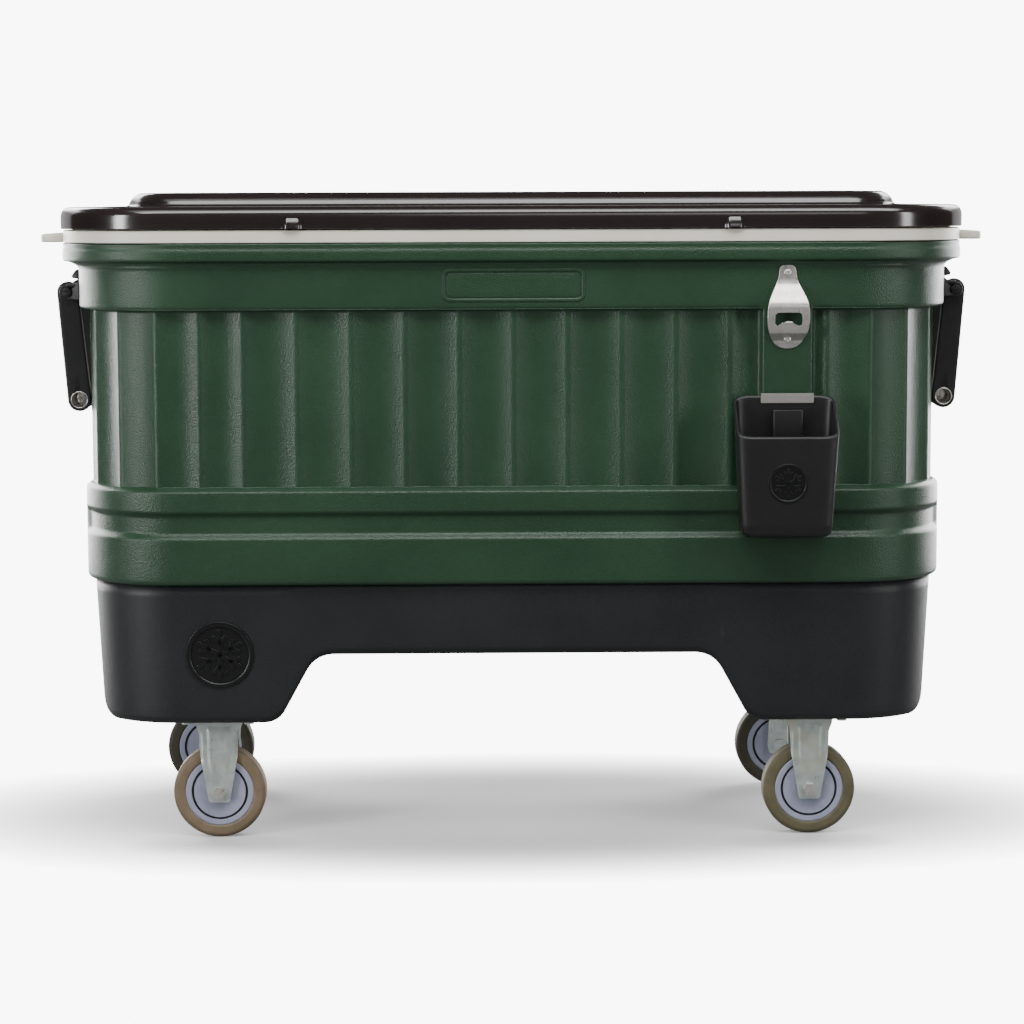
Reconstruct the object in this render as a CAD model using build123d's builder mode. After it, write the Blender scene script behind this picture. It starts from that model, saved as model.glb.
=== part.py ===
from build123d import *
import os
from math import atan, cos, degrees, pi, sin

os.makedirs("parts", exist_ok=True)

# Overall layout: +X to the right end, -Y to the front, +Z up, floor at Z = 0.
BIN_FRONT = 297.0
HINGE_Y = 247.0
HINGE_Z = 823.0
KNUCKLE_R = 6.0
CENTRE_Y = (BIN_FRONT - HINGE_Y - KNUCKLE_R) / 2

# Hull: belt, fluted wall, top band and lip (half sizes in plan, and levels).
HULL_BOTTOM = 350.0
BELT_HALF = (581.0, 228.0)
WAIST_HALF = (574.5, 221.5)
BELT_CORNER = 132.0
BELT_LOW_TOP = 411.0
WAIST_LOW = 421.0
WAIST_HIGH = 440.0
BELT_HIGH_BOTTOM = 450.0
BELT_TOP = 474.0
FLUTE_HALF = (573.0, 217.5)
FLUTE_CORNER = 124.0
FLUTE_PITCH = 71.6
FLUTES_PER_HALF = 5
CORNER_FLUTES = 5
FLUTE_DEPTH = 6.5
CORNER_FLUTE_DEPTH = 4.5
BAND_BOTTOM = 714.0
BAND_HALF = (586.0, 224.5)
BAND_CORNER = 134.0
LIP_BOTTOM = 777.0
LIP_TOP = 803.0
LIP_HALF = (608.0, 236.0)
LIP_CORNER = 148.0
HULL_FLOOR = 5.0
CAVITY_HALF = (563.0, 206.0)
CAVITY_CORNER = 114.0
PAD_X = (326.0, 396.0)
END_HALF_Y = 108.0

# Liner and insulation.
LINER_HALF = (533.0, 174.0)
LINER_CORNER = 86.0
LINER_WALL = 3.5
LINER_FLOOR = 400.0
RIM_TOP = 820.0
RIM_HALF = (607.0, 235.5)
RIM_CORNER = 147.0
RIM_WALL = 4.0
TAB_END = 640.0
TAB_HALF_Y = 100.0
TAB_TOP = 814.5
FOAM_GAP = 0.5

# Lid.
LID_BOTTOM = 821.0
LID_HALF = (610.0, 238.5)
LID_CORNER = 150.0
LID_SHOULDER = 850.5
LID_EDGE_R = 26.0
LID_WALL = 4.0
CROWN_HALF = (521.0, 151.0)
CROWN_CORNER = 78.0
CROWN_RISE = 19.0
CROWN_RUN = 25.0
LID_RIB_X = 289.5
LID_RIB_R = 14.0

# Base with its arch and four feet.
BASE_TOP = HULL_BOTTOM
FOOT_BOTTOM = 166.0
BASE_HALF = (569.5, 217.0)
BASE_CORNER = 112.0
BASE_TAPER = degrees(atan(9 / 190))
BASE_WALL = 6.0
ARCH_TOP = 254.5
ARCH_TOP_HALF = 268.0
ARCH_FOOT_HALF = 322.0
ARCH_ROUND = 22.0
BOSS_X = (-190.0, 0.0, 190.0)
BOSS_Y = 120.0

# Casters.
WHEEL_R = 62.5
CORE_R = 46.0
WHEEL_WIDTH = 32.0
HUB_WIDTH = 36.0
LEG_INNER = 18.5
LEG_T = 3.0
FRONT_X = 399.5
REAR_X = 416.5
TRAIL = 24.0
FRONT_Y = -160.0
REAR_Y = 162.0
PLATE_X = 105.0
PLATE_Y = 80.0
PLATE_T = 3.0
PLATE_HOLE_X = 84.0
PLATE_HOLE_Y = 58.0
PLATE_BOLT_R = 4.0
AXLE_R = 6.0
RUNNING = 0.05
RACE_BOTTOM = 157.0
KINGPIN_R = 6.0

# End handles.
PIVOT_X = 606.5
PIVOT_Z = 735.0
PIVOT_R = 14.5
GRIP_X = 593.0
GRIP_Z = 588.0
GRIP_R = 16.0
GRIP_HOLE_R = 10.5
ARM_Y = (57.5, 70.5)
EAR_T = 8.0
HANDLE_PIN_R = 4.0

# Bottle opener, catch bin and its hanger.
OPENER_X = 360.5
OPENER_TOP_W = 22.0
OPENER_W = 56.0
OPENER_Z = (662.0, 772.0)
SLOT_W = 37.0
BIN_X = 355.5
BIN_BACK = 229.5
BIN_Z = (418.0, 602.0)
BIN_FRONT_RIM = 551.0
BIN_LEAN = 6.0
BIN_WALL = 3.5
RAIL_SLOT_Z = (472.0, 582.4)

# Drain on the rear of the hull.
DRAIN_X = -430.0
DRAIN_Z = 416.0
DRAIN_R = 11.0


# A level plane over the hull's own centre line.
def level(z):
    return Plane(origin=(0, CENTRE_Y, z))


# A plane facing the front (normal towards -Y) whose origin is over X = 0 on the floor.
def facing(y):
    return Plane(origin=(0, CENTRE_Y + y, 0), x_dir=(1, 0, 0), z_dir=(0, -1, 0))


def rounded(half, radius):
    return RectangleRounded(2 * half[0], 2 * half[1], radius)


def save(piece, label):
    piece.part.label = label
    export_step(piece.part, f"parts/{label}.step")


# Point on the fluted wall's outline, at a distance s from the middle of the front face.
def wall_point(s):
    straight = FLUTE_HALF[0] - FLUTE_CORNER
    if s <= straight:
        return (s, -FLUTE_HALF[1])
    turn = (s - straight) / FLUTE_CORNER
    x = straight + FLUTE_CORNER * sin(turn)
    y = -(FLUTE_HALF[1] - FLUTE_CORNER) - FLUTE_CORNER * cos(turn)
    return (x, y)


# Arrises of one quarter, from the middle of the front to the end face.
def quarter_arrises():
    last = FLUTES_PER_HALF * FLUTE_PITCH
    corner_end = FLUTE_HALF[0] - FLUTE_CORNER + FLUTE_CORNER * pi / 2
    steps = [i * FLUTE_PITCH for i in range(FLUTES_PER_HALF + 1)]
    span = (corner_end - last) / CORNER_FLUTES
    steps += [last + span * (i + 1) for i in range(CORNER_FLUTES)]
    return [wall_point(s) for s in steps]


# One scoop between two arrises, bowed inwards; the end faces stay flat.
def scoop(p, q):
    if abs(p[0] - q[0]) < 0.01:
        Line(p, q)
        return
    wide = abs(p[1] - q[1]) < 0.01
    depth = FLUTE_DEPTH if wide else CORNER_FLUTE_DEPTH
    mid = Vector((p[0] + q[0]) / 2, (p[1] + q[1]) / 2)
    along = (Vector(*q) - Vector(*p)).normalized()
    inward = Vector(-along.Y, along.X)
    if inward.dot(mid) > 0:
        inward = -inward
    ThreePointArc(p, mid + inward * depth, q)


front_right = quarter_arrises()
rear_right = [(x, -y) for x, y in reversed(front_right)]
rear_left = [(-x, -y) for x, y in front_right[1:]]
front_left = [(-x, y) for x, y in reversed(front_right)][:-1]
arrises = front_right + rear_right + rear_left + front_left

belt_slope = degrees(atan((BELT_HALF[0] - WAIST_HALF[0]) / (WAIST_LOW - BELT_LOW_TOP)))
top_slope = degrees(atan((BELT_HALF[1] - FLUTE_HALF[1]) / 10.5))

# Hull: the outer moulding, grown from the floor up and then hollowed.
with BuildPart() as hull:
    with BuildSketch(level(HULL_BOTTOM)):
        rounded(BELT_HALF, BELT_CORNER)
    extrude(amount=BELT_LOW_TOP - HULL_BOTTOM)
    fillet(hull.faces().sort_by(Axis.Z)[0].edges(), 8)
    with BuildSketch(level(BELT_LOW_TOP)):
        rounded(BELT_HALF, BELT_CORNER)
    extrude(amount=WAIST_LOW - BELT_LOW_TOP, taper=belt_slope)
    with BuildSketch(level(WAIST_LOW)):
        rounded(WAIST_HALF, BELT_CORNER - 6)
    extrude(amount=WAIST_HIGH - WAIST_LOW)
    with BuildSketch(level(BELT_HIGH_BOTTOM)):
        rounded(BELT_HALF, BELT_CORNER)
    extrude(amount=WAIST_HIGH - BELT_HIGH_BOTTOM, taper=belt_slope)
    with BuildSketch(level(BELT_HIGH_BOTTOM)):
        rounded(BELT_HALF, BELT_CORNER)
    extrude(amount=BELT_TOP - BELT_HIGH_BOTTOM)
    with BuildSketch(level(BELT_TOP)):
        rounded(BELT_HALF, BELT_CORNER)
    extrude(amount=10.5, taper=top_slope)
    # Flush ends where the waist groove stops.
    with BuildSketch(level(BELT_LOW_TOP)):
        Rectangle(2 * BELT_HALF[0] - 1, 2 * END_HALF_Y - 24)
    extrude(amount=BELT_HIGH_BOTTOM - BELT_LOW_TOP)
    with BuildSketch(level(BELT_TOP)):
        with BuildLine():
            for i, p in enumerate(arrises):
                q = arrises[(i + 1) % len(arrises)]
                if (Vector(*q) - Vector(*p)).length > 0.01:
                    scoop(p, q)
        make_face()
    extrude(amount=BAND_BOTTOM - BELT_TOP)
    with BuildSketch(level(BAND_BOTTOM)):
        rounded(BAND_HALF, BAND_CORNER)
    extrude(amount=LIP_TOP - BAND_BOTTOM)
    with BuildSketch(level(LIP_BOTTOM)):
        rounded((LIP_HALF[0] - 8, LIP_HALF[1] - 4), LIP_CORNER - 5)
    extrude(amount=4)
    with BuildSketch(level(LIP_BOTTOM + 4)):
        rounded(LIP_HALF, LIP_CORNER)
    extrude(amount=LIP_TOP - LIP_BOTTOM - 4)
    # Raised pad behind the opener and the bin.
    pad_depth = BAND_HALF[1] - 212
    with BuildSketch(level(BELT_TOP)):
        with Locations(((PAD_X[0] + PAD_X[1]) / 2, -212 - pad_depth / 2)):
            Rectangle(PAD_X[1] - PAD_X[0], pad_depth)
    extrude(amount=BAND_BOTTOM - BELT_TOP)
    # Hollow for the liner and its foam, with a wider pocket inside the top band.
    with BuildSketch(level(HULL_BOTTOM + HULL_FLOOR)):
        rounded(CAVITY_HALF, CAVITY_CORNER)
    extrude(amount=LIP_TOP - HULL_BOTTOM - HULL_FLOOR, mode=Mode.SUBTRACT)
    with BuildSketch(level(BAND_BOTTOM + 6)):
        rounded((BAND_HALF[0] - 6, BAND_HALF[1] - 6), BAND_CORNER - 6)
    extrude(amount=LIP_TOP - BAND_BOTTOM - 6, mode=Mode.SUBTRACT)
    with BuildSketch(level(HULL_BOTTOM + HULL_FLOOR)):
        rounded((BELT_HALF[0] - 6, BELT_HALF[1] - 6), BELT_CORNER - 6)
    extrude(amount=BELT_LOW_TOP - HULL_BOTTOM - HULL_FLOOR - 5, mode=Mode.SUBTRACT)
    # Drain hole through the rear wall.
    with BuildSketch(facing(BELT_HALF[1] + 5)):
        with Locations((DRAIN_X, DRAIN_Z)):
            Circle(DRAIN_R)
    extrude(amount=40, mode=Mode.SUBTRACT)
save(hull, "hull")

# Liner: the white tub, its channel-shaped rim and the two end tabs.
liner_out = (LINER_HALF[0] + LINER_WALL, LINER_HALF[1] + LINER_WALL)
with BuildPart() as liner:
    with BuildSketch(level(LINER_FLOOR - LINER_WALL)):
        rounded(liner_out, LINER_CORNER + LINER_WALL)
    extrude(amount=RIM_TOP - LINER_FLOOR + LINER_WALL)
    fillet(liner.faces().sort_by(Axis.Z)[0].edges(), 10 + LINER_WALL)
    with BuildSketch(level(LIP_TOP)):
        rounded(RIM_HALF, RIM_CORNER)
    extrude(amount=RIM_TOP - LIP_TOP)
    with BuildSketch(level(LIP_TOP)):
        RectangleRounded(2 * TAB_END, 2 * TAB_HALF_Y, 46)
    extrude(amount=TAB_TOP - LIP_TOP)
    # Underside of the rim, hollowed into a channel.
    with BuildSketch(level(LIP_TOP)):
        rounded((RIM_HALF[0] - RIM_WALL, RIM_HALF[1] - RIM_WALL), RIM_CORNER - RIM_WALL)
        RectangleRounded(2 * liner_out[0], 2 * liner_out[1], LINER_CORNER + LINER_WALL, mode=Mode.SUBTRACT)
    extrude(amount=RIM_TOP - LIP_TOP - RIM_WALL, mode=Mode.SUBTRACT)
    # The tub's inside.
    with BuildPart(mode=Mode.PRIVATE) as tub:
        with BuildSketch(level(LINER_FLOOR)):
            rounded(LINER_HALF, LINER_CORNER)
        extrude(amount=RIM_TOP - LINER_FLOOR + 1)
        fillet(tub.faces().sort_by(Axis.Z)[0].edges(), 10)
    add(tub.part, mode=Mode.SUBTRACT)
    with BuildSketch(facing(BELT_HALF[1])):
        with Locations((DRAIN_X, DRAIN_Z)):
            Circle(DRAIN_R)
    extrude(amount=80, mode=Mode.SUBTRACT)
save(liner, "liner")

# Foam filling between the two mouldings.
with BuildPart() as insulation:
    with BuildSketch(level(HULL_BOTTOM + HULL_FLOOR + FOAM_GAP)):
        rounded((CAVITY_HALF[0] - FOAM_GAP, CAVITY_HALF[1] - FOAM_GAP), CAVITY_CORNER - FOAM_GAP)
    extrude(amount=LIP_TOP - HULL_BOTTOM - HULL_FLOOR - 2 * FOAM_GAP)
    with BuildSketch(level(LINER_FLOOR - LINER_WALL - FOAM_GAP)):
        rounded((liner_out[0] + FOAM_GAP, liner_out[1] + FOAM_GAP), LINER_CORNER + LINER_WALL + FOAM_GAP)
    extrude(amount=LIP_TOP - LINER_FLOOR + 10, mode=Mode.SUBTRACT)
    with BuildSketch(facing(BELT_HALF[1])):
        with Locations((DRAIN_X, DRAIN_Z)):
            Circle(DRAIN_R + FOAM_GAP)
    extrude(amount=80, mode=Mode.SUBTRACT)
save(insulation, "insulation")


# Trapezoid of the arch seen from the front, grown by a wall thickness.
def arch_sketch(grow):
    with BuildSketch(facing(-BASE_HALF[1] - 10)) as outline:
        with BuildLine():
            Polyline(
                (-ARCH_FOOT_HALF - grow - 6, FOOT_BOTTOM - 12),
                (-ARCH_TOP_HALF - grow, ARCH_TOP + grow),
                (ARCH_TOP_HALF + grow, ARCH_TOP + grow),
                (ARCH_FOOT_HALF + grow + 6, FOOT_BOTTOM - 12),
                close=True,
            )
        make_face()
        fillet(outline.vertices().group_by(Axis.Y)[-1], ARCH_ROUND)
    return outline.sketch


# Base: the plinth with an arch through it, hollow from above, with six screw bosses.
with BuildPart() as base_core:
    with BuildSketch(level(BASE_TOP + 1)):
        rounded((BASE_HALF[0] - BASE_WALL, BASE_HALF[1] - BASE_WALL), BASE_CORNER - BASE_WALL)
    extrude(amount=FOOT_BOTTOM + BASE_WALL - BASE_TOP - 1, taper=BASE_TAPER)
    extrude(arch_sketch(BASE_WALL), amount=-2 * BASE_HALF[1] - 20, mode=Mode.SUBTRACT)

with BuildPart() as base:
    with BuildSketch(level(BASE_TOP)):
        rounded(BASE_HALF, BASE_CORNER)
    extrude(amount=FOOT_BOTTOM - BASE_TOP, taper=BASE_TAPER)
    extrude(arch_sketch(0), amount=-2 * BASE_HALF[1] - 20, mode=Mode.SUBTRACT)
    fillet(base.faces().sort_by(Axis.Z)[0:2].edges(), 9)
    add(base_core.part, mode=Mode.SUBTRACT)
    with BuildSketch(level(ARCH_TOP)):
        with Locations([(x, y) for x in BOSS_X for y in (-BOSS_Y, BOSS_Y)]):
            Circle(11)
    extrude(amount=BASE_TOP - ARCH_TOP)
    with BuildSketch(level(ARCH_TOP)):
        with Locations([(x, y) for x in BOSS_X for y in (-BOSS_Y, BOSS_Y)]):
            Circle(4.2)
    extrude(amount=BASE_TOP - ARCH_TOP, mode=Mode.SUBTRACT)
    # Holes for the caster plates' bolts, four to a foot.
    with BuildSketch(level(FOOT_BOTTOM)):
        for x, y in ((FRONT_X, FRONT_Y), (REAR_X, REAR_Y)):
            for side in (-1, 1):
                with Locations((side * x, y)):
                    with GridLocations(PLATE_HOLE_X, PLATE_HOLE_Y, 2, 2):
                        Circle(PLATE_BOLT_R + 0.3)
    extrude(amount=BASE_WALL + 1, mode=Mode.SUBTRACT)
save(base, "base")

# Bolts up through the arch into the hull's floor.
with BuildPart() as base_bolts:
    with BuildSketch(level(ARCH_TOP)):
        with Locations([(x, y) for x in BOSS_X for y in (-BOSS_Y, BOSS_Y)]):
            RegularPolygon(7.5, 6)
    extrude(amount=-5)
    with BuildSketch(level(ARCH_TOP)):
        with Locations([(x, y) for x in BOSS_X for y in (-BOSS_Y, BOSS_Y)]):
            Circle(3)
    extrude(amount=BASE_TOP - ARCH_TOP - 0.2)
save(base_bolts, "base_bolts")

# Lid: a stepped shell with a low raised crown.
crown_taper = degrees(atan(CROWN_RUN / CROWN_RISE))
with BuildPart() as lid:
    with BuildSketch(level(LID_BOTTOM)):
        rounded(LID_HALF, LID_CORNER)
    extrude(amount=LID_SHOULDER - LID_BOTTOM)
    fillet(lid.faces().sort_by(Axis.Z)[-1].edges(), LID_EDGE_R)
    with BuildSketch(level(LID_SHOULDER - 1)):
        rounded(CROWN_HALF, CROWN_CORNER)
    extrude(amount=CROWN_RISE + 1, taper=crown_taper)
    fillet(lid.faces().sort_by(Axis.Z)[-1].edges(), 5)
    with BuildSketch(level(LID_BOTTOM)):
        with Locations((-LID_RIB_X, -LID_HALF[1]), (LID_RIB_X, -LID_HALF[1])):
            Ellipse(LID_RIB_R, 2.5)
    extrude(amount=12)
    with BuildPart(mode=Mode.PRIVATE) as lid_hollow:
        with BuildSketch(level(LID_BOTTOM)):
            rounded((LID_HALF[0] - LID_WALL, LID_HALF[1] - LID_WALL), LID_CORNER - LID_WALL)
        extrude(amount=LID_SHOULDER - LID_BOTTOM - LID_WALL)
        fillet(lid_hollow.faces().sort_by(Axis.Z)[-1].edges(), LID_EDGE_R - LID_WALL)
        with BuildSketch(level(LID_SHOULDER - LID_WALL - 1)):
            rounded((CROWN_HALF[0] - 2, CROWN_HALF[1] - 2), CROWN_CORNER - 2)
        extrude(amount=CROWN_RISE + 1, taper=crown_taper)
    add(lid_hollow.part, mode=Mode.SUBTRACT)
save(lid, "lid")

# Soft seal under the lid, just clear of the liner's rim.
with BuildPart() as lid_seal:
    with BuildSketch(level(RIM_TOP + 0.5)):
        rounded((LID_HALF[0] - 30, LID_HALF[1] - 30), LID_CORNER - 30)
        RectangleRounded(2 * LID_HALF[0] - 80, 2 * LID_HALF[1] - 80, LID_CORNER - 40, mode=Mode.SUBTRACT)
    extrude(amount=LID_SHOULDER - LID_WALL - RIM_TOP - 0.5)
save(lid_seal, "lid_seal")

# Two rear hinges: leaf, two outer knuckles, one inner knuckle, pin and screws.
HINGE_X = 300.0
LEAF_T = 3.0
PIN_R = 2.5
LEAF_W = 70.0
KNUCKLE_W = 20.0


def hinge_plane(x):
    return Plane(origin=(x, CENTRE_Y, 0), x_dir=(0, 1, 0), z_dir=(1, 0, 0))


with BuildPart() as hinge_leaves_lower:
    for side in (-1, 1):
        with BuildSketch(facing(LIP_HALF[1] + LEAF_T)):
            with Locations((side * HINGE_X, 797.0)):
                RectangleRounded(LEAF_W, 30, 4)
            with Locations((side * HINGE_X - 24, 797.0), (side * HINGE_X + 24, 797.0)):
                Circle(2.2, mode=Mode.SUBTRACT)
        extrude(amount=LEAF_T)
        for shift in (-22, 22):
            with BuildSketch(hinge_plane(side * HINGE_X + shift)):
                with BuildLine():
                    Polyline(
                        (LIP_HALF[1], 806),
                        (LIP_HALF[1] + LEAF_T, 806),
                        (HINGE_Y + KNUCKLE_R - 1, HINGE_Z - 2),
                        (HINGE_Y - KNUCKLE_R + 1, HINGE_Z),
                        (LIP_HALF[1], 811),
                        close=True,
                    )
                make_face()
                with Locations((HINGE_Y, HINGE_Z)):
                    Circle(KNUCKLE_R)
                    Circle(PIN_R + RUNNING, mode=Mode.SUBTRACT)
            extrude(amount=KNUCKLE_W / 2, both=True)
save(hinge_leaves_lower, "hinge_leaves_lower")

with BuildPart() as hinge_leaves_upper:
    for side in (-1, 1):
        with BuildSketch(hinge_plane(side * HINGE_X)):
            with BuildLine():
                Polyline(
                    (LID_HALF[1], 826),
                    (HINGE_Y - 2, HINGE_Z - 4),
                    (HINGE_Y + 2, HINGE_Z + 4),
                    (LID_HALF[1] + LEAF_T, 834),
                    (LID_HALF[1] + LEAF_T, 842),
                    (LID_HALF[1], 842),
                    close=True,
                )
            make_face()
            with Locations((HINGE_Y, HINGE_Z)):
                Circle(KNUCKLE_R)
                Circle(PIN_R + RUNNING, mode=Mode.SUBTRACT)
        extrude(amount=11.4, both=True)
        with BuildSketch(facing(LID_HALF[1] + LEAF_T)):
            with Locations((side * HINGE_X, 832.0)):
                Rectangle(2 * 11.4, 4)
        extrude(amount=LEAF_T)
save(hinge_leaves_upper, "hinge_leaves_upper")

with BuildPart() as hinge_pins:
    for side in (-1, 1):
        with BuildSketch(hinge_plane(side * HINGE_X)):
            with Locations((HINGE_Y, HINGE_Z)):
                Circle(PIN_R)
        extrude(amount=33, both=True)
save(hinge_pins, "hinge_pins")

with BuildPart() as hinge_screws:
    for side in (-1, 1):
        with BuildSketch(facing(LIP_HALF[1] + LEAF_T + 1.6)):
            with Locations((side * HINGE_X - 24, 797.0), (side * HINGE_X + 24, 797.0)):
                Circle(4)
        extrude(amount=1.6)
save(hinge_screws, "hinge_screws")


# Outline of a rigid fork's leg about its axle, from the crown down to the foot.
def rigid_leg(x):
    Polyline(
        (x - 31, FOOT_BOTTOM - PLATE_T),
        (x - 30, 154),
        (x - 26, 143),
        (x - 25, 113),
        (x - 14, 49),
        (x + 14, 49),
        (x + 25, 113),
        (x + 26, 143),
        (x + 30, 154),
        (x + 31, FOOT_BOTTOM - PLATE_T),
        close=True,
    )


# Outline of a swivel fork's leg, leaning back from the kingpin to the trailing axle.
def swivel_leg(x):
    Polyline(
        (x - 33, RACE_BOTTOM - 0.3),
        (x - 38, 138),
        (x - 45, 113),
        (x - TRAIL - 14, 49),
        (x - TRAIL + 14, 49),
        (x + 8, 113),
        (x + 26, 140),
        (x + 29, RACE_BOTTOM - 0.3),
        close=True,
    )


def plate_with_holes(x, y):
    with BuildSketch(level(FOOT_BOTTOM)) as plate:
        with Locations((x, y)):
            RectangleRounded(PLATE_X, PLATE_Y, 8)
            with GridLocations(PLATE_HOLE_X, PLATE_HOLE_Y, 2, 2):
                Circle(PLATE_BOLT_R + 0.3, mode=Mode.SUBTRACT)
    extrude(plate.sketch, amount=-PLATE_T)


# Two legs either side of a wheel whose middle plane is at y, bored for the axle.
def legs(outline, x, axle_x, y):
    for face in (y - LEG_INNER - LEG_T, y + LEG_INNER):
        with BuildSketch(facing(face)) as leg:
            with BuildLine():
                outline(x)
            make_face()
            fillet(leg.vertices().group_by(Axis.Y)[0], 4)
            with Locations((axle_x, WHEEL_R)):
                Circle(AXLE_R, mode=Mode.SUBTRACT)
        extrude(leg.sketch, amount=-LEG_T)


def rigid_fork(x, y):
    with BuildPart() as fork:
        plate_with_holes(x, y)
        with BuildSketch(level(FOOT_BOTTOM - PLATE_T)):
            with Locations((x, y)):
                Rectangle(60, 2 * (LEG_INNER + LEG_T))
        extrude(amount=-PLATE_T)
        legs(rigid_leg, x, x, y)
    return fork


for tag, side in (("left", -1), ("right", 1)):
    save(rigid_fork(side * FRONT_X, FRONT_Y), f"front_fork_{tag}")


# Plate, race cup and kingpin of a swivel caster, all fixed to the foot.
def swivel_head(x, y):
    with BuildPart() as head:
        plate_with_holes(x, y)
        with BuildSketch(level(FOOT_BOTTOM - PLATE_T)):
            with Locations((x, y)):
                Circle(29)
        extrude(amount=RACE_BOTTOM - FOOT_BOTTOM + PLATE_T)
        with BuildSketch(level(RACE_BOTTOM)):
            with Locations((x, y)):
                Circle(KINGPIN_R)
        extrude(amount=-8)
        with BuildSketch(level(RACE_BOTTOM - 4.6)):
            with Locations((x, y)):
                Circle(11)
        extrude(amount=-3.4)
    return head


def swivel_fork(x, y):
    with BuildPart() as fork:
        with BuildSketch(level(RACE_BOTTOM - 0.3)):
            with Locations((x, y)):
                Circle(32)
        extrude(amount=-4)
        legs(swivel_leg, x, x - TRAIL, y)
        with BuildSketch(level(RACE_BOTTOM)):
            with Locations((x, y)):
                Circle(KINGPIN_R + RUNNING)
        extrude(amount=-8, mode=Mode.SUBTRACT)
    return fork


for tag, side in (("left", -1), ("right", 1)):
    save(swivel_head(side * REAR_X, REAR_Y), f"rear_plate_{tag}")
    save(swivel_fork(side * REAR_X, REAR_Y), f"rear_fork_{tag}")


# Axle bolt with its head on the front side and a nut behind.
def axle_bolt(x, y):
    outer = LEG_INNER + LEG_T
    with BuildSketch(facing(y - outer - 4.5)) as shank:
        with Locations((x, WHEEL_R)):
            Circle(AXLE_R)
    extrude(shank.sketch, amount=-2 * outer - 13)
    for face in (y - outer - 5, y + outer):
        with BuildSketch(facing(face)) as nut:
            with Locations((x, WHEEL_R)):
                RegularPolygon(9, 6)
        extrude(nut.sketch, amount=-5)


with BuildPart() as front_axles:
    for side in (-1, 1):
        axle_bolt(side * FRONT_X, FRONT_Y)
save(front_axles, "front_axles")

for tag, side in (("left", -1), ("right", 1)):
    with BuildPart() as rear_axle:
        axle_bolt(side * REAR_X - TRAIL, REAR_Y)
    save(rear_axle, f"rear_axle_{tag}")


# Tyre and core of one wheel.
def tyre_at(x, y):
    with BuildPart() as tyre:
        with BuildSketch(facing(y)):
            with Locations((x, WHEEL_R)):
                Circle(WHEEL_R)
        extrude(amount=WHEEL_WIDTH / 2, both=True)
        fillet(tyre.edges(), 5)
        with BuildSketch(facing(y)):
            with Locations((x, WHEEL_R)):
                Circle(CORE_R)
        extrude(amount=WHEEL_WIDTH, both=True, mode=Mode.SUBTRACT)
    return tyre


def core_at(x, y):
    with BuildPart() as core:
        with BuildSketch(facing(y)):
            with Locations((x, WHEEL_R)):
                Circle(CORE_R)
        extrude(amount=WHEEL_WIDTH / 2 - 1, both=True)
        for face, depth in ((y - WHEEL_WIDTH / 2, -2.5), (y + WHEEL_WIDTH / 2, 2.5)):
            with BuildSketch(facing(face)):
                with Locations((x, WHEEL_R)):
                    Circle(38.5)
                    Circle(36.5, mode=Mode.SUBTRACT)
            extrude(amount=depth, mode=Mode.SUBTRACT)
        with BuildSketch(facing(y)):
            with Locations((x, WHEEL_R)):
                Circle(13)
        extrude(amount=HUB_WIDTH / 2, both=True)
        with BuildSketch(facing(y)):
            with Locations((x, WHEEL_R)):
                Circle(AXLE_R + RUNNING)
        extrude(amount=HUB_WIDTH, both=True, mode=Mode.SUBTRACT)
    return core


wheels = (
    ("front_left", -FRONT_X, FRONT_Y),
    ("front_right", FRONT_X, FRONT_Y),
    ("rear_left", -REAR_X - TRAIL, REAR_Y),
    ("rear_right", REAR_X - TRAIL, REAR_Y),
)
for tag, x, y in wheels:
    save(tyre_at(x, y), f"tyre_{tag}")
    save(core_at(x, y), f"core_{tag}")

# Bolts holding the four plates to the feet, heads below.
with BuildPart() as caster_bolts:
    for x, y in ((FRONT_X, FRONT_Y), (REAR_X, REAR_Y)):
        for side in (-1, 1):
            with BuildSketch(level(FOOT_BOTTOM - PLATE_T)):
                with Locations((side * x, y)):
                    with GridLocations(PLATE_HOLE_X, PLATE_HOLE_Y, 2, 2):
                        RegularPolygon(7, 6)
            extrude(amount=-4.5)
            with BuildSketch(level(FOOT_BOTTOM - PLATE_T)):
                with Locations((side * x, y)):
                    with GridLocations(PLATE_HOLE_X, PLATE_HOLE_Y, 2, 2):
                        Circle(PLATE_BOLT_R)
            extrude(amount=PLATE_T + BASE_WALL + 5)
save(caster_bolts, "caster_bolts")


# End bracket: backplate on the top band, four ears and a hood over the arms.
def bracket(side):
    back = BAND_HALF[0]
    with BuildPart() as piece:
        with BuildSketch(level(724)):
            with Locations((side * (back + 2), 0)):
                Rectangle(4, 168)
        extrude(amount=42)
        with BuildSketch(facing(-84)):
            with BuildLine():
                Polyline(
                    (side * back, 752.5),
                    (side * (back + 12), 754.5),
                    (side * (back + 13), 758),
                    (side * (back + 7), 766),
                    (side * back, 766),
                    close=True,
                )
            make_face()
        extrude(amount=-168)
        for low in (-ARM_Y[1] - 1 - EAR_T, -ARM_Y[0] + 1, ARM_Y[0] - 1 - EAR_T, ARM_Y[1] + 1):
            with BuildSketch(facing(low)):
                with Locations((side * PIVOT_X, PIVOT_Z)):
                    Circle(10)
                with Locations((side * (back + PIVOT_X) / 2, PIVOT_Z + 1)):
                    Rectangle(PIVOT_X - back, 22)
                with Locations((side * PIVOT_X, PIVOT_Z)):
                    Circle(HANDLE_PIN_R, mode=Mode.SUBTRACT)
            extrude(amount=-EAR_T)
    return piece


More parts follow.
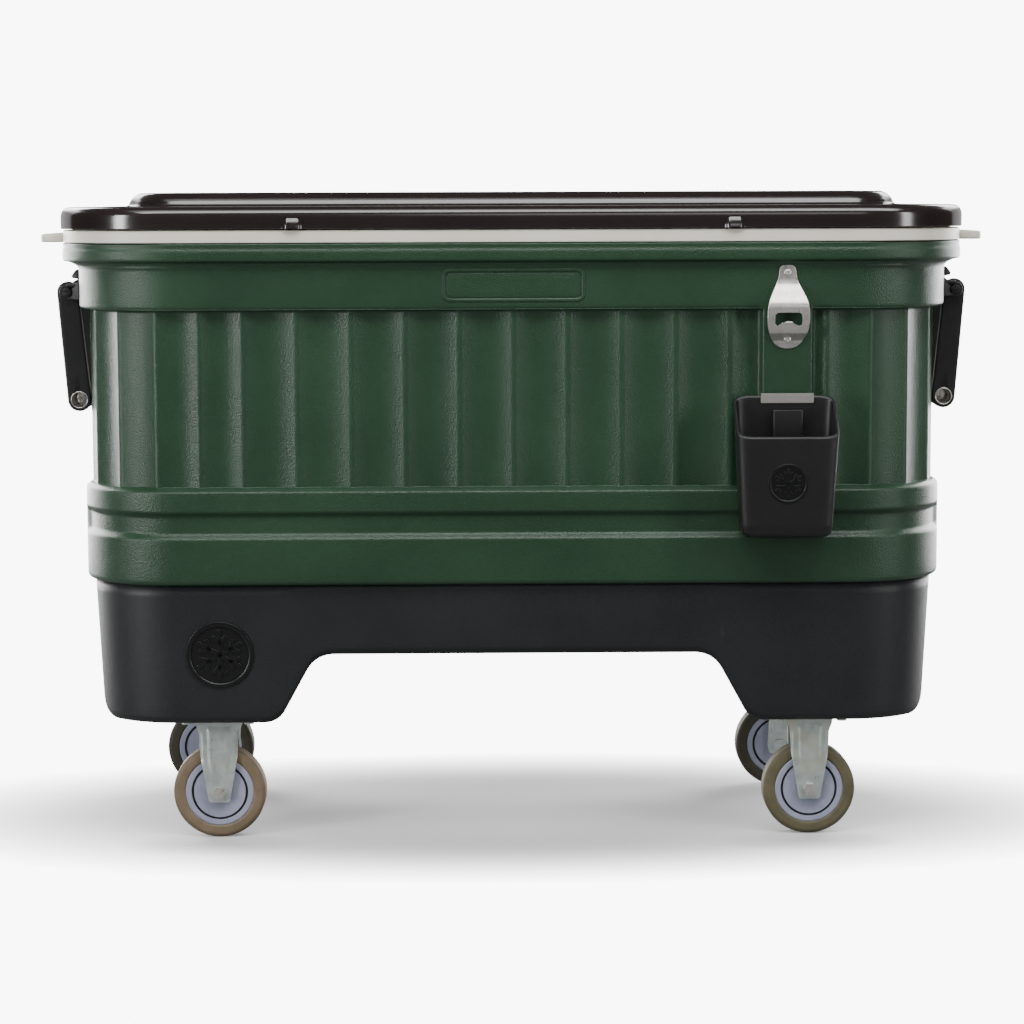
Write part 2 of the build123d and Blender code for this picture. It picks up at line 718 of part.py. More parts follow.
# Bail: two arms joined by a hollow grip.
def bail(side):
    with BuildPart() as piece:
        for low in (-ARM_Y[1], ARM_Y[0]):
            with BuildSketch(facing(low)):
                with BuildLine():
                    Polyline(
                        (side * (PIVOT_X + PIVOT_R), PIVOT_Z - 3),
                        (side * (PIVOT_X - PIVOT_R), PIVOT_Z - 3),
                        (side * (GRIP_X - GRIP_R), GRIP_Z),
                        (side * (GRIP_X + GRIP_R), GRIP_Z),
                        close=True,
                    )
                make_face()
                with Locations((side * PIVOT_X, PIVOT_Z)):
                    Circle(PIVOT_R)
                with Locations((side * GRIP_X, GRIP_Z)):
                    Circle(GRIP_R)
                with Locations((side * PIVOT_X, PIVOT_Z)):
                    Circle(HANDLE_PIN_R + RUNNING, mode=Mode.SUBTRACT)
            extrude(amount=-(ARM_Y[1] - ARM_Y[0]))
        with BuildSketch(facing(-ARM_Y[1])):
            with Locations((side * GRIP_X, GRIP_Z)):
                Circle(GRIP_R - 1)
        extrude(amount=-2 * ARM_Y[1])
        with BuildSketch(facing(-ARM_Y[1])):
            with Locations((side * GRIP_X, GRIP_Z)):
                Circle(GRIP_HOLE_R)
        extrude(amount=-2 * ARM_Y[1], mode=Mode.SUBTRACT)
    return piece


def handle_pins(side):
    reach = ARM_Y[1] + 1 + EAR_T
    with BuildPart() as piece:
        for low in (-reach, ARM_Y[0] - 1 - EAR_T):
            with BuildSketch(facing(low)):
                with Locations((side * PIVOT_X, PIVOT_Z)):
                    Circle(HANDLE_PIN_R)
            extrude(amount=-(reach - ARM_Y[0] + 1 + EAR_T))
        for low in (-reach - 2, reach):
            with BuildSketch(facing(low)):
                with Locations((side * PIVOT_X, PIVOT_Z)):
                    Circle(6.5)
            extrude(amount=-2)
    return piece


# Bumper strip behind the hanging grip.
def bumper(side):
    with BuildPart() as piece:
        with BuildSketch(level(574)):
            with Locations((side * (FLUTE_HALF[0] + 1.5), 0)):
                Rectangle(3, 152)
        extrude(amount=118)
    return piece


for tag, side in (("left", -1), ("right", 1)):
    save(bracket(side), f"handle_bracket_{tag}")
    save(bail(side), f"handle_{tag}")
    save(handle_pins(side), f"handle_pins_{tag}")
    save(bumper(side), f"handle_bumper_{tag}")

# Screws through both brackets' backplates.
with BuildPart() as bracket_screws:
    for side in (-1, 1):
        start = side * (BAND_HALF[0] + 4)
        screw_plane = Plane(origin=(start, CENTRE_Y, 0), x_dir=(0, 1, 0), z_dir=(1, 0, 0))
        with BuildSketch(screw_plane):
            with Locations((-25, 740), (25, 740)):
                Circle(5)
        extrude(amount=side * 2.2)
save(bracket_screws, "bracket_screws")

# Bottle opener: flat upper tab, then a bowed lower plate with the cap slot.
PAD_FACE = BAND_HALF[1]
with BuildPart() as opener_outline:
    with BuildSketch(facing(-PAD_FACE - 30)) as opener_face:
        with BuildLine():
            Polyline(
                (OPENER_X - OPENER_TOP_W / 2, OPENER_Z[1]),
                (OPENER_X + OPENER_TOP_W / 2, OPENER_Z[1]),
                (OPENER_X + OPENER_TOP_W / 2, 752),
                (OPENER_X + OPENER_W / 2, 717),
                (OPENER_X + OPENER_W / 2, 688),
                (OPENER_X + OPENER_TOP_W / 2 + 4, OPENER_Z[0]),
                (OPENER_X - OPENER_TOP_W / 2 - 4, OPENER_Z[0]),
                (OPENER_X - OPENER_W / 2, 688),
                (OPENER_X - OPENER_W / 2, 717),
                (OPENER_X - OPENER_TOP_W / 2, 752),
                close=True,
            )
        make_face()
        fillet(opener_face.vertices().group_by(Axis.Y)[0], 10)
        fillet(opener_face.vertices().group_by(Axis.Y)[-1], 8)
        with Locations((OPENER_X, 701)):
            RectangleRounded(SLOT_W, 18, 6, mode=Mode.SUBTRACT)
        with Locations((OPENER_X, 762), (OPENER_X, 675)):
            Circle(2.6, mode=Mode.SUBTRACT)
    extrude(amount=-40)

with BuildPart() as bottle_opener:
    with BuildSketch(Plane(origin=(OPENER_X - 40, CENTRE_Y, 0), x_dir=(0, 1, 0), z_dir=(1, 0, 0))):
        with BuildLine():
            Polyline(
                (-PAD_FACE, 775),
                (-PAD_FACE, 750),
                (-PAD_FACE - 17, 716),
                (-PAD_FACE - 17, 690),
                (-PAD_FACE, 682),
                (-PAD_FACE, 660),
                (-PAD_FACE - 2.2, 660),
                (-PAD_FACE - 2.2, 680.5),
                (-PAD_FACE - 19.2, 688.5),
                (-PAD_FACE - 19.2, 716.8),
                (-PAD_FACE - 2.2, 750.8),
                (-PAD_FACE - 2.2, 775),
                close=True,
            )
        make_face()
    extrude(amount=80)
    add(opener_outline.part, mode=Mode.INTERSECT)
    # The tongue that catches the cap's edge.
    with BuildSketch(facing(-PAD_FACE - 19.2)):
        with Locations((OPENER_X, 694)):
            Rectangle(17, 7)
    extrude(amount=-2.2)
save(bottle_opener, "bottle_opener")

with BuildPart() as opener_screws:
    with BuildSketch(facing(-PAD_FACE - 4)):
        with Locations((OPENER_X, 762), (OPENER_X, 675)):
            Circle(4.6)
    extrude(amount=-1.8)
    with BuildSketch(facing(-PAD_FACE - 3)):
        with Locations((OPENER_X, 762), (OPENER_X, 675)):
            Circle(2.4)
    extrude(amount=-3)
save(opener_screws, "opener_screws")

# Hanger: a plate on the pad with a T-shaped rail for the bin.
HANGER_X = BIN_X + 5
with BuildPart() as bin_hanger:
    with BuildSketch(facing(-PAD_FACE - 2)):
        with Locations((HANGER_X, 556)):
            RectangleRounded(52, 62, 4)
        with Locations((HANGER_X - 19, 556), (HANGER_X + 19, 556)):
            Circle(2.2, mode=Mode.SUBTRACT)
    extrude(amount=-2)
    with BuildSketch(facing(-PAD_FACE - 8)):
        with Locations((HANGER_X, 560)):
            Rectangle(16, 44)
    extrude(amount=-6.5)
    with BuildSketch(facing(-PAD_FACE - 11)):
        with Locations((HANGER_X, 560)):
            Rectangle(30, 44)
    extrude(amount=-3)
save(bin_hanger, "bin_hanger")

with BuildPart() as hanger_screws:
    with BuildSketch(facing(-PAD_FACE - 3.6)):
        with Locations((HANGER_X - 19, 556), (HANGER_X + 19, 556)):
            Circle(4)
    extrude(amount=-1.6)
save(hanger_screws, "hanger_screws")


# Tapered block of the bin, shrunk on all four sides by a wall.
def bin_block(z0, z1, wall, mode):
    ends = []
    foot = BIN_LEAN - BIN_FRONT
    head = foot - BIN_LEAN * (BIN_Z[1] - BIN_Z[0]) / (BIN_FRONT_RIM - BIN_Z[0])
    for z, half_x, front, radius in (
        (z0, 59.0 - wall, foot + wall, 14 - wall),
        (z1, 67.0 - wall, head + wall, 19 - wall),
    ):
        with BuildSketch(level(z)) as end:
            with Locations((BIN_X, (front - BIN_BACK - wall) / 2)):
                RectangleRounded(2 * half_x, -front - BIN_BACK - wall, radius)
        ends.append(end.sketch)
    loft(ends, mode=mode)


# Catch bin: slanted mouth, with a boss inside its back wall that slides over the rail.
with BuildPart() as catch_bin:
    bin_block(BIN_Z[0], BIN_Z[1], 0, Mode.ADD)
    fillet(catch_bin.faces().sort_by(Axis.Z)[0].edges(), 8)
    bin_block(BIN_Z[0] + BIN_WALL, BIN_Z[1] + 1, BIN_WALL, Mode.SUBTRACT)
    with BuildSketch(level(520)):
        with Locations((HANGER_X, -BIN_BACK - 6)):
            Rectangle(40, 12)
    extrude(amount=BIN_Z[1] - 520)
    slant = degrees(atan((BIN_Z[1] - BIN_FRONT_RIM) / (BIN_FRONT - BIN_BACK)))
    mouth = Plane(origin=(BIN_X, CENTRE_Y - BIN_BACK, BIN_Z[1])).rotated((slant, 0, 0))
    split(bisect_by=mouth, keep=Keep.BOTTOM)
    # Slot for the rail, carried down the back wall so that the bin can lift clear of it.
    with BuildSketch(level(RAIL_SLOT_Z[0])):
        with Locations((HANGER_X, -PAD_FACE - 6)):
            Rectangle(17, 8)
        with Locations((HANGER_X, -PAD_FACE - 9.5)):
            Rectangle(31, 4)
    extrude(amount=RAIL_SLOT_Z[1] - RAIL_SLOT_Z[0], mode=Mode.SUBTRACT)
save(catch_bin, "catch_bin")

# Grey grip tab over the back of the bin's rim.
with BuildPart() as bin_tab:
    with BuildSketch(level(BIN_Z[1])):
        with Locations((HANGER_X, -BIN_BACK - 1.75)):
            RectangleRounded(70, 3.5, 1.5)
    extrude(amount=1.5)
save(bin_tab, "bin_tab")

# Drain: flanged sleeve, gasket and a screw plug on the rear of the hull.
REAR_FACE = BELT_HALF[1]
with BuildPart() as drain_sleeve:
    with BuildSketch(facing(REAR_FACE + 4)):
        with Locations((DRAIN_X, DRAIN_Z)):
            Circle(20)
    extrude(amount=4)
    with BuildSketch(facing(REAR_FACE)):
        with Locations((DRAIN_X, DRAIN_Z)):
            Circle(DRAIN_R - 0.2)
    extrude(amount=REAR_FACE - LINER_HALF[1])
    with BuildSketch(facing(REAR_FACE + 4)):
        with Locations((DRAIN_X, DRAIN_Z)):
            Circle(8)
    extrude(amount=REAR_FACE + 4 - LINER_HALF[1], mode=Mode.SUBTRACT)
save(drain_sleeve, "drain_sleeve")

with BuildPart() as drain_plug:
    with BuildSketch(facing(REAR_FACE + 16)):
        with Locations((DRAIN_X, DRAIN_Z)):
            Circle(17)
            with PolarLocations(17.5, 8):
                Circle(2.6, mode=Mode.SUBTRACT)
    extrude(amount=11.6)
    with BuildSketch(facing(REAR_FACE + 5)):
        with Locations((DRAIN_X, DRAIN_Z)):
            Circle(7.93)
    extrude(amount=18)
save(drain_plug, "drain_plug")
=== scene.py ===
import bpy
import bmesh
import numpy as np
from math import radians, pi
from mathutils import Matrix, Vector


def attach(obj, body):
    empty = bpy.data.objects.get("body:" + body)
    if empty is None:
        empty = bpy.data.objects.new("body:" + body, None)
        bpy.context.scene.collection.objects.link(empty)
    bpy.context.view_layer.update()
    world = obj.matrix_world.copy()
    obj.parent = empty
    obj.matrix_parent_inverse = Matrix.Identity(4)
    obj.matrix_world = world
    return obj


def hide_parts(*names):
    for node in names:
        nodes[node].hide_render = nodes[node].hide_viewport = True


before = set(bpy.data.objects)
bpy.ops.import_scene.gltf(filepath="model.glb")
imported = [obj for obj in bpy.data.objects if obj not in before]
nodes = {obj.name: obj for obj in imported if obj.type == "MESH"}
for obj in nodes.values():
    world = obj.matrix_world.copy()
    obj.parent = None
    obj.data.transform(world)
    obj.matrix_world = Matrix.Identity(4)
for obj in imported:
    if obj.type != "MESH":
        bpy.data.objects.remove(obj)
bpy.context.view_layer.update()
midY = 0.022  # the hull's centre plane, in metres
mm = 0.001

# mesh helpers


# rows x columns of points become quads; doubles at poles and seams are merged, faces turned outwards
def gridPiece(name, points, wrapRows=False, wrapCols=True, angle=None):
    rows, cols = points.shape[:2]
    index = np.arange(rows * cols).reshape(rows, cols)
    if wrapRows:
        index = np.vstack([index, index[:1]])
    if wrapCols:
        index = np.hstack([index, index[:, :1]])
    quads = np.stack([index[:-1, :-1], index[:-1, 1:], index[1:, 1:], index[1:, :-1]], -1).reshape(-1, 4)
    verts = points.reshape(-1, 3) * mm
    verts[:, 1] += midY
    mesh = bpy.data.meshes.new(name)
    mesh.vertices.add(len(verts))
    mesh.vertices.foreach_set("co", verts.ravel())
    mesh.loops.add(quads.size)
    mesh.loops.foreach_set("vertex_index", quads.ravel())
    mesh.polygons.add(len(quads))
    mesh.polygons.foreach_set("loop_start", np.arange(0, quads.size, 4))
    mesh.update(calc_edges=True)
    return finishMesh(name, mesh, angle)


def finishMesh(name, mesh, angle=None):
    bm = bmesh.new()
    bm.from_mesh(mesh)
    bmesh.ops.remove_doubles(bm, verts=bm.verts, dist=2e-6)
    bmesh.ops.dissolve_degenerate(bm, edges=bm.edges, dist=1e-6)
    bmesh.ops.recalc_face_normals(bm, faces=bm.faces)
    bm.to_mesh(mesh)
    bm.free()
    mesh.polygons.foreach_set("use_smooth", np.ones(len(mesh.polygons), dtype=bool))
    if angle:
        mesh.set_sharp_from_angle(angle=radians(angle))
    obj = bpy.data.objects.new(name, mesh)
    bpy.context.scene.collection.objects.link(obj)
    return obj


# several meshes become one piece
def joined(name, parts):
    mesh = bpy.data.meshes.new(name)
    bm = bmesh.new()
    for part in parts:
        bm.from_mesh(part.data)
        bpy.data.objects.remove(part)
    bm.to_mesh(mesh)
    bm.free()
    obj = bpy.data.objects.new(name, mesh)
    bpy.context.scene.collection.objects.link(obj)
    return obj


# a profile of corner points with a radius each, every corner replaced by a quarter-like arc of n steps
def rounded(corners, steps=6, closed=False):
    pts = np.array([c[:2] for c in corners], float)
    rad = [c[2] if len(c) > 2 else 0 for c in corners]
    out = []
    count = len(pts)
    for i in range(count):
        if rad[i] == 0 or (not closed and i in (0, count - 1)):
            out.append(pts[i][None])
            continue
        a, b, c = pts[i - 1], pts[i], pts[(i + 1) % count]
        t = np.linspace(0, 1, steps + 1)[:, None]
        da, dc = a - b, c - b
        la, lc = np.linalg.norm(da), np.linalg.norm(dc)
        cut = min(rad[i], 0.49 * la, 0.49 * lc)
        p, q = b + da / la * cut, b + dc / lc * cut
        out.append((1 - t) ** 2 * p + 2 * t * (1 - t) * b + t ** 2 * q)
    return np.vstack(out)


# the profile with long runs divided so that no step is longer than a limit
def divided(profile, limit):
    out = [profile[:1]]
    for a, b in zip(profile[:-1], profile[1:]):
        n = max(1, int(np.ceil(np.linalg.norm(b - a) / limit)))
        out.append(a + (b - a) * (np.arange(1, n + 1) / n)[:, None])
    return np.vstack(out)


def smoothStep(x, lo, hi):
    t = np.clip((x - lo) / (hi - lo), 0, 1)
    return t * t * (3 - 2 * t)


# a ring of n points around a rectangle with rounded corners, counter-clockwise
def roundRect(width, height, radius, n=96, cx=0.0, cy=0.0):
    hx, hy = width / 2, height / 2
    base = rounded([(hx, -hy, radius), (hx, hy, radius), (-hx, hy, radius), (-hx, -hy, radius)], 10, True)
    return evenRing(base + np.array([cx, cy]), n)


def evenRing(ring, n):
    loop = np.vstack([ring, ring[:1]])
    s = np.r_[0, np.cumsum(np.linalg.norm(np.diff(loop, axis=0), axis=1))]
    t = np.linspace(0, s[-1], n, endpoint=False)
    return np.stack([np.interp(t, s, loop[:, 0]), np.interp(t, s, loop[:, 1])], -1)


def circle(radius, n=96, cx=0.0, cy=0.0):
    a = np.linspace(0, 2 * pi, n, endpoint=False)
    return np.stack([cx + radius * np.cos(a), cy + radius * np.sin(a)], -1)


# a flat plate from its outline: rings run from the middle (or a hole's edge) out over a rounded edge and back,
# and place(u, v, h) puts a flat point with its height in space
def platePiece(name, outline, thick, edge, place, hole=None, rings=1, angle=None):
    ahead, back = np.roll(outline, -1, 0), np.roll(outline, 1, 0)
    tangent = ahead - back
    tangent /= np.linalg.norm(tangent, axis=1)[:, None]
    normal = np.stack([tangent[:, 1], -tangent[:, 0]], -1)
    a = np.linspace(0, pi / 2, 5)
    stack = []
    core = np.repeat(outline.mean(0)[None], len(outline), 0) if hole is None else hole
    inner = outline - normal * edge
    for f in np.arange(rings) / rings:
        stack.append((core + (inner - core) * f, thick / 2))
    for ang in a:
        stack.append((outline - normal * edge * (1 - np.sin(ang)), thick / 2 - edge * (1 - np.cos(ang))))
    full = [np.column_stack([p, np.full(len(p), h)]) for p, h in stack]
    full += [np.column_stack([p, np.full(len(p), -h)]) for p, h in reversed(stack)]
    flat = np.array(full)
    return gridPiece(name, place(flat[..., 0], flat[..., 1], flat[..., 2]), wrapRows=hole is not None, angle=angle)


# a front-facing plate: u is X, v is Z, height comes out of the front
def onFront(y):
    return lambda u, v, h: np.stack([u, y - h + 0 * u, v], -1)


# a level plate: u is X, v is local Y, height is Z
def onLevel(z):
    return lambda u, v, h: np.stack([u, v, z + h + 0 * u], -1)


# a closed profile of (radius, y) turned about a Y-parallel axis through (cx, cz)
def turned(name, profile, cx, cy, cz, n=128, angle=None):
    a = np.linspace(0, 2 * pi, n, endpoint=False)
    r, y = profile[:, 0][:, None], profile[:, 1][:, None]
    pts = np.stack([cx + r * np.cos(a), cy + y + 0 * a, cz + r * np.sin(a)], -1)
    return gridPiece(name, pts, wrapRows=True, angle=angle)


# a merged copy of a CAD node with its sharp edges eased
def eased(node, body, width=0.6, material=None, slot=None):
    src = nodes[node]
    mesh = src.data.copy()
    mesh.name = node + "Eased"
    obj = finishMesh(node + "Eased", mesh)
    mesh.materials.clear()
    bev = obj.modifiers.new("ease", "BEVEL")
    bev.width = width * mm
    bev.segments = 2
    bev.limit_method = "ANGLE"
    bev.angle_limit = radians(32)
    bev.harden_normals = False
    mesh.set_sharp_from_angle(angle=radians(40))
    finishPiece(obj, body, material, slot, node)
    return obj


def finishPiece(obj, body, material, slot, *replaced):
    obj.data.materials.clear()
    obj.data.materials.append(material)
    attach(obj, body)
    if replaced:
        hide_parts(*replaced)
    return obj


print("helpers ready")

# shared shader groups


def newGroup(name, inputs, outputs):
    tree = bpy.data.node_groups.new(name, "ShaderNodeTree")
    for label, kind, value in inputs:
        sock = tree.interface.new_socket(label, in_out="INPUT", socket_type=kind)
        sock.default_value = value
    for label, kind in outputs:
        tree.interface.new_socket(label, in_out="OUTPUT", socket_type=kind)
    return tree, tree.nodes.new("NodeGroupInput"), tree.nodes.new("NodeGroupOutput")


def addNode(tree, kind, links=None, **values):
    node = tree.nodes.new(kind)
    for key, value in values.items():
        setattr(node, key, value)
    for key, value in (links or {}).items():
        if isinstance(value, bpy.types.NodeSocket):
            tree.links.new(value, node.inputs[key])
        else:
            node.inputs[key].default_value = value
    return node


def mathOf(tree, op, a, b=None, c=None, clamp=False):
    node = addNode(tree, "ShaderNodeMath", operation=op, use_clamp=clamp)
    for i, value in enumerate((a, b, c)):
        if value is None:
            continue
        if isinstance(value, bpy.types.NodeSocket):
            tree.links.new(value, node.inputs[i])
        else:
            node.inputs[i].default_value = value
    return node.outputs[0]


def rangeOf(tree, value, lo, hi, outLo=0.0, outHi=1.0):
    spans = {"Value": value, "From Min": lo, "From Max": hi, "To Min": outLo, "To Max": outHi}
    return addNode(tree, "ShaderNodeMapRange", spans).outputs["Result"]


def mixOf(tree, factor, a, b):
    node = addNode(tree, "ShaderNodeMix", data_type="RGBA")
    for key, value in ((0, factor), (6, a), (7, b)):
        if isinstance(value, bpy.types.NodeSocket):
            tree.links.new(value, node.inputs[key])
        else:
            node.inputs[key].default_value = value
    return node.outputs[2]


def noiseOf(tree, coords, scale, detail=3.0, rough=0.55, distort=0.0):
    node = addNode(tree, "ShaderNodeTexNoise", {"Scale": scale, "Detail": detail, "Roughness": rough,
                                                "Distortion": distort})
    tree.links.new(coords, node.inputs["Vector"])
    return node.outputs["Fac"]


# pebbled moulding grain: rounded cells broken up by noise, as a height
def makeGrain():
    tree, gin, gout = newGroup("mouldGrain", [("Scale", "NodeSocketFloat", 500.0), ("Break", "NodeSocketFloat", 0.4)],
                               [("Height", "NodeSocketFloat")])
    coords = addNode(tree, "ShaderNodeTexCoord").outputs["Object"]
    cells = addNode(tree, "ShaderNodeTexVoronoi", {"Scale": gin.outputs["Scale"], "Smoothness": 0.6},
                    feature="SMOOTH_F1")
    tree.links.new(coords, cells.inputs["Vector"])
    noise = addNode(tree, "ShaderNodeTexNoise", {"Scale": gin.outputs["Scale"], "Detail": 4.0, "Roughness": 0.6})
    tree.links.new(coords, noise.inputs["Vector"])
    pebble = mathOf(tree, "SUBTRACT", 1.0, cells.outputs["Distance"])
    mixed = mathOf(tree, "MULTIPLY_ADD", noise.outputs["Fac"], gin.outputs["Break"], pebble)
    tree.links.new(mixed, gout.inputs["Height"])
    return tree


# wear along edges, and on the catch bin a painted highlight along its rim: pointed places, broken up by noise, as a
# mask
def makeWearAndHighlight():
    tree, gin, gout = newGroup("edgeWearAndHighlight", [("Start", "NodeSocketFloat", 0.53), ("End", "NodeSocketFloat", 0.6),
                                            ("Breakup", "NodeSocketFloat", 60.0)], [("Mask", "NodeSocketFloat")])
    point = addNode(tree, "ShaderNodeNewGeometry").outputs["Pointiness"]
    coords = addNode(tree, "ShaderNodeTexCoord").outputs["Object"]
    ramp = addNode(tree, "ShaderNodeMapRange", {"Value": point, "From Min": gin.outputs["Start"],
                                                "From Max": gin.outputs["End"]})
    noise = addNode(tree, "ShaderNodeTexNoise", {"Scale": gin.outputs["Breakup"], "Detail": 5.0, "Roughness": 0.65})
    tree.links.new(coords, noise.inputs["Vector"])
    broken = rangeOf(tree, noise.outputs["Fac"], 0.35, 0.65, 0.25, 1.0)
    tree.links.new(mathOf(tree, "MULTIPLY", ramp.outputs["Result"], broken, clamp=True), gout.inputs["Mask"])
    return tree


# slow mottling between 0 and 1, and fine hairline scuffs as a second mask
def makeMottle():
    tree, gin, gout = newGroup("mottle", [("Scale", "NodeSocketFloat", 6.0),
                                          ("Scuff Scale", "NodeSocketFloat", 40.0)],
                               [("Tone", "NodeSocketFloat"), ("Scuffs", "NodeSocketFloat")])
    coords = addNode(tree, "ShaderNodeTexCoord").outputs["Object"]
    tone = addNode(tree, "ShaderNodeTexNoise", {"Scale": gin.outputs["Scale"], "Detail": 4.0, "Roughness": 0.6})
    tree.links.new(coords, tone.inputs["Vector"])
    tree.links.new(rangeOf(tree, tone.outputs["Fac"], 0.3, 0.7), gout.inputs["Tone"])
    stretch = addNode(tree, "ShaderNodeMapping", {"Vector": coords, "Scale": (1.0, 1.0, 7.0),
                                                  "Rotation": (0.3, 0.5, 0.2)})
    fine = addNode(tree, "ShaderNodeTexNoise", {"Vector": stretch.outputs[0], "Scale": gin.outputs["Scuff Scale"],
                                                "Detail": 8.0, "Roughness": 0.75})
    tree.links.new(rangeOf(tree, fine.outputs["Fac"], 0.62, 0.72), gout.inputs["Scuffs"])
    return tree


grainGroup, wearAndHighlightGroup, mottleGroup = makeGrain(), makeWearAndHighlight(), makeMottle()


def srgb(r, g, b):
    v = np.array([r, g, b]) / 255
    lin = np.where(v <= 0.04045, v / 12.92, ((v + 0.055) / 1.055) ** 2.4)
    return (*[float(c) for c in lin], 1.0)


# a moulded finish: two tones mottled, worn edges (on the catch bin a painted highlight on the rim's edges instead of
# wear), grain bump, and rougher scuffs
def mouldedMaterial(name, dark, light, edge, rough, bump, grainScale, roughSpread=0.06, bumpDepth=0.0006, wearAndHighlight=0.5,
                    wearAndHighlightAt=(0.53, 0.62), scuff=0.08, spec=0.5, mottleScale=6.0):
    mat = bpy.data.materials.new(name)
    mat.use_nodes = True
    tree = mat.node_tree
    bsdf = tree.nodes["Principled BSDF"]
    mottle = addNode(tree, "ShaderNodeGroup", node_tree=mottleGroup)
    mottle.inputs["Scale"].default_value, mottle.inputs["Scuff Scale"].default_value = mottleScale, 40.0
    wearAndHighlightMask = addNode(tree, "ShaderNodeGroup", node_tree=wearAndHighlightGroup)
    wearAndHighlightMask.inputs["Start"].default_value, wearAndHighlightMask.inputs["End"].default_value = wearAndHighlightAt
    tone = mixOf(tree, mottle.outputs["Tone"], srgb(*dark), srgb(*light))
    share = mathOf(tree, "MULTIPLY", wearAndHighlightMask.outputs["Mask"], wearAndHighlight)
    tree.links.new(mixOf(tree, share, tone, srgb(*edge)), bsdf.inputs["Base Color"])
    matt = mathOf(tree, "MULTIPLY_ADD", mottle.outputs["Tone"], roughSpread, rough)
    matt = mathOf(tree, "MULTIPLY_ADD", mottle.outputs["Scuffs"], scuff, matt)
    tree.links.new(matt, bsdf.inputs["Roughness"])
    bsdf.inputs["Specular IOR Level"].default_value = spec
    bsdf.inputs["Coat Roughness"].default_value = 0.1
    grain = addNode(tree, "ShaderNodeGroup", node_tree=grainGroup)
    grain.inputs["Scale"].default_value, grain.inputs["Break"].default_value = grainScale, 0.5
    height = addNode(tree, "ShaderNodeBump", {"Height": grain.outputs["Height"], "Strength": bump,
                                              "Distance": bumpDepth})
    tree.links.new(height.outputs[0], bsdf.inputs["Normal"])
    return mat


# rolled or pressed metal: streaks along one direction in roughness and bump, clouded tones and a tint in places
def metalMaterial(name, dark, light, edge, metal, rough, bump, streak, streakScale, cloudScale, tint=None,
                  tintAmount=0.0):
    mat = bpy.data.materials.new(name)
    mat.use_nodes = True
    tree = mat.node_tree
    bsdf = tree.nodes["Principled BSDF"]
    coords = addNode(tree, "ShaderNodeTexCoord").outputs["Object"]
    stretch = addNode(tree, "ShaderNodeMapping", {"Vector": coords, "Scale": streak})
    lines = noiseOf(tree, stretch.outputs[0], streakScale, 6.0, 0.7)
    cloud = rangeOf(tree, noiseOf(tree, coords, cloudScale, 4.0, 0.6, 0.4), 0.35, 0.65)
    wearAndHighlightMask = addNode(tree, "ShaderNodeGroup", node_tree=wearAndHighlightGroup)
    base = mixOf(tree, cloud, srgb(*dark), srgb(*light))
    where = rangeOf(tree, noiseOf(tree, coords, cloudScale * 0.6, 2.0), 0.5, 0.68)
    base = mixOf(tree, mathOf(tree, "MULTIPLY", where, tintAmount), base, srgb(*(tint or light)))
    base = mixOf(tree, mathOf(tree, "MULTIPLY", wearAndHighlightMask.outputs["Mask"], 0.5), base, srgb(*edge))
    tree.links.new(base, bsdf.inputs["Base Color"])
    matt = rangeOf(tree, lines, 0.3, 0.7, rough - 0.07, rough + 0.1)
    tree.links.new(mathOf(tree, "MULTIPLY_ADD", cloud, 0.06, matt), bsdf.inputs["Roughness"])
    bsdf.inputs["Metallic"].default_value = metal
    height = addNode(tree, "ShaderNodeBump", {"Height": lines, "Strength": bump, "Distance": 0.0003})
    tree.links.new(height.outputs[0], bsdf.inputs["Normal"])
    return mat


# a clear coat over a material: full on faces towards the front, back and sky, thin on the ends; the thin coat is
# painted shade that keeps the lid's ends dark, free of the reflections of the lamps behind
def addCoatShadedAtEnds(mat, sideAt, endShare, ior, rough):
    tree = mat.node_tree
    bsdf = tree.nodes["Principled BSDF"]
    axes = addNode(tree, "ShaderNodeSeparateXYZ", {0: addNode(tree, "ShaderNodeNewGeometry").outputs["Normal"]})
    side = mathOf(tree, "ABSOLUTE", axes.outputs["X"])
    tree.links.new(rangeOf(tree, side, *sideAt, 1.0, endShare), bsdf.inputs["Coat Weight"])
    bsdf.inputs["Coat IOR"].default_value = ior
    bsdf.inputs["Coat Roughness"].default_value = rough


greenHull = mouldedMaterial("greenHull", (31, 58, 38), (38, 67, 45), (70, 100, 72), 0.36, 0.5, 560.0,
                            roughSpread=0.05,
                            bumpDepth=0.0008, wearAndHighlight=0.35, wearAndHighlightAt=(0.52, 0.60), scuff=0.05)
blackBase = mouldedMaterial("blackBase", (24, 26, 28), (31, 33, 35), (66, 68, 70), 0.46, 0.22, 700.0, wearAndHighlight=0.3)
blackMoulding = mouldedMaterial("blackMoulding", (20, 20, 21), (26, 26, 27), (64, 64, 65), 0.42, 0.2, 900.0, wearAndHighlight=0.3)
# the catch bin's pale grey edge colour, laid on its pointed places, is a painted highlight along the rim and edges
binMoulding = mouldedMaterial("binMoulding", (20, 20, 21), (26, 26, 27), (150, 150, 152), 0.4, 0.2, 900.0, wearAndHighlight=0.8,
                              wearAndHighlightAt=(0.55, 0.62))
blackGloss = mouldedMaterial("blackGloss", (9, 10, 11), (13, 14, 15), (60, 62, 64), 0.3, 0.1, 900.0, wearAndHighlight=0.4)
whiteLiner = mouldedMaterial("whiteLiner", (224, 218, 203), (235, 230, 217), (242, 238, 228), 0.38, 0.05, 600.0,
                             wearAndHighlight=0.2)
smokeLid = mouldedMaterial("smokeLid", (33, 27, 27), (40, 33, 32), (70, 60, 58), 0.16, 0.02, 300.0, roughSpread=0.05,
                           wearAndHighlight=0.2, spec=0.0, scuff=0.05)
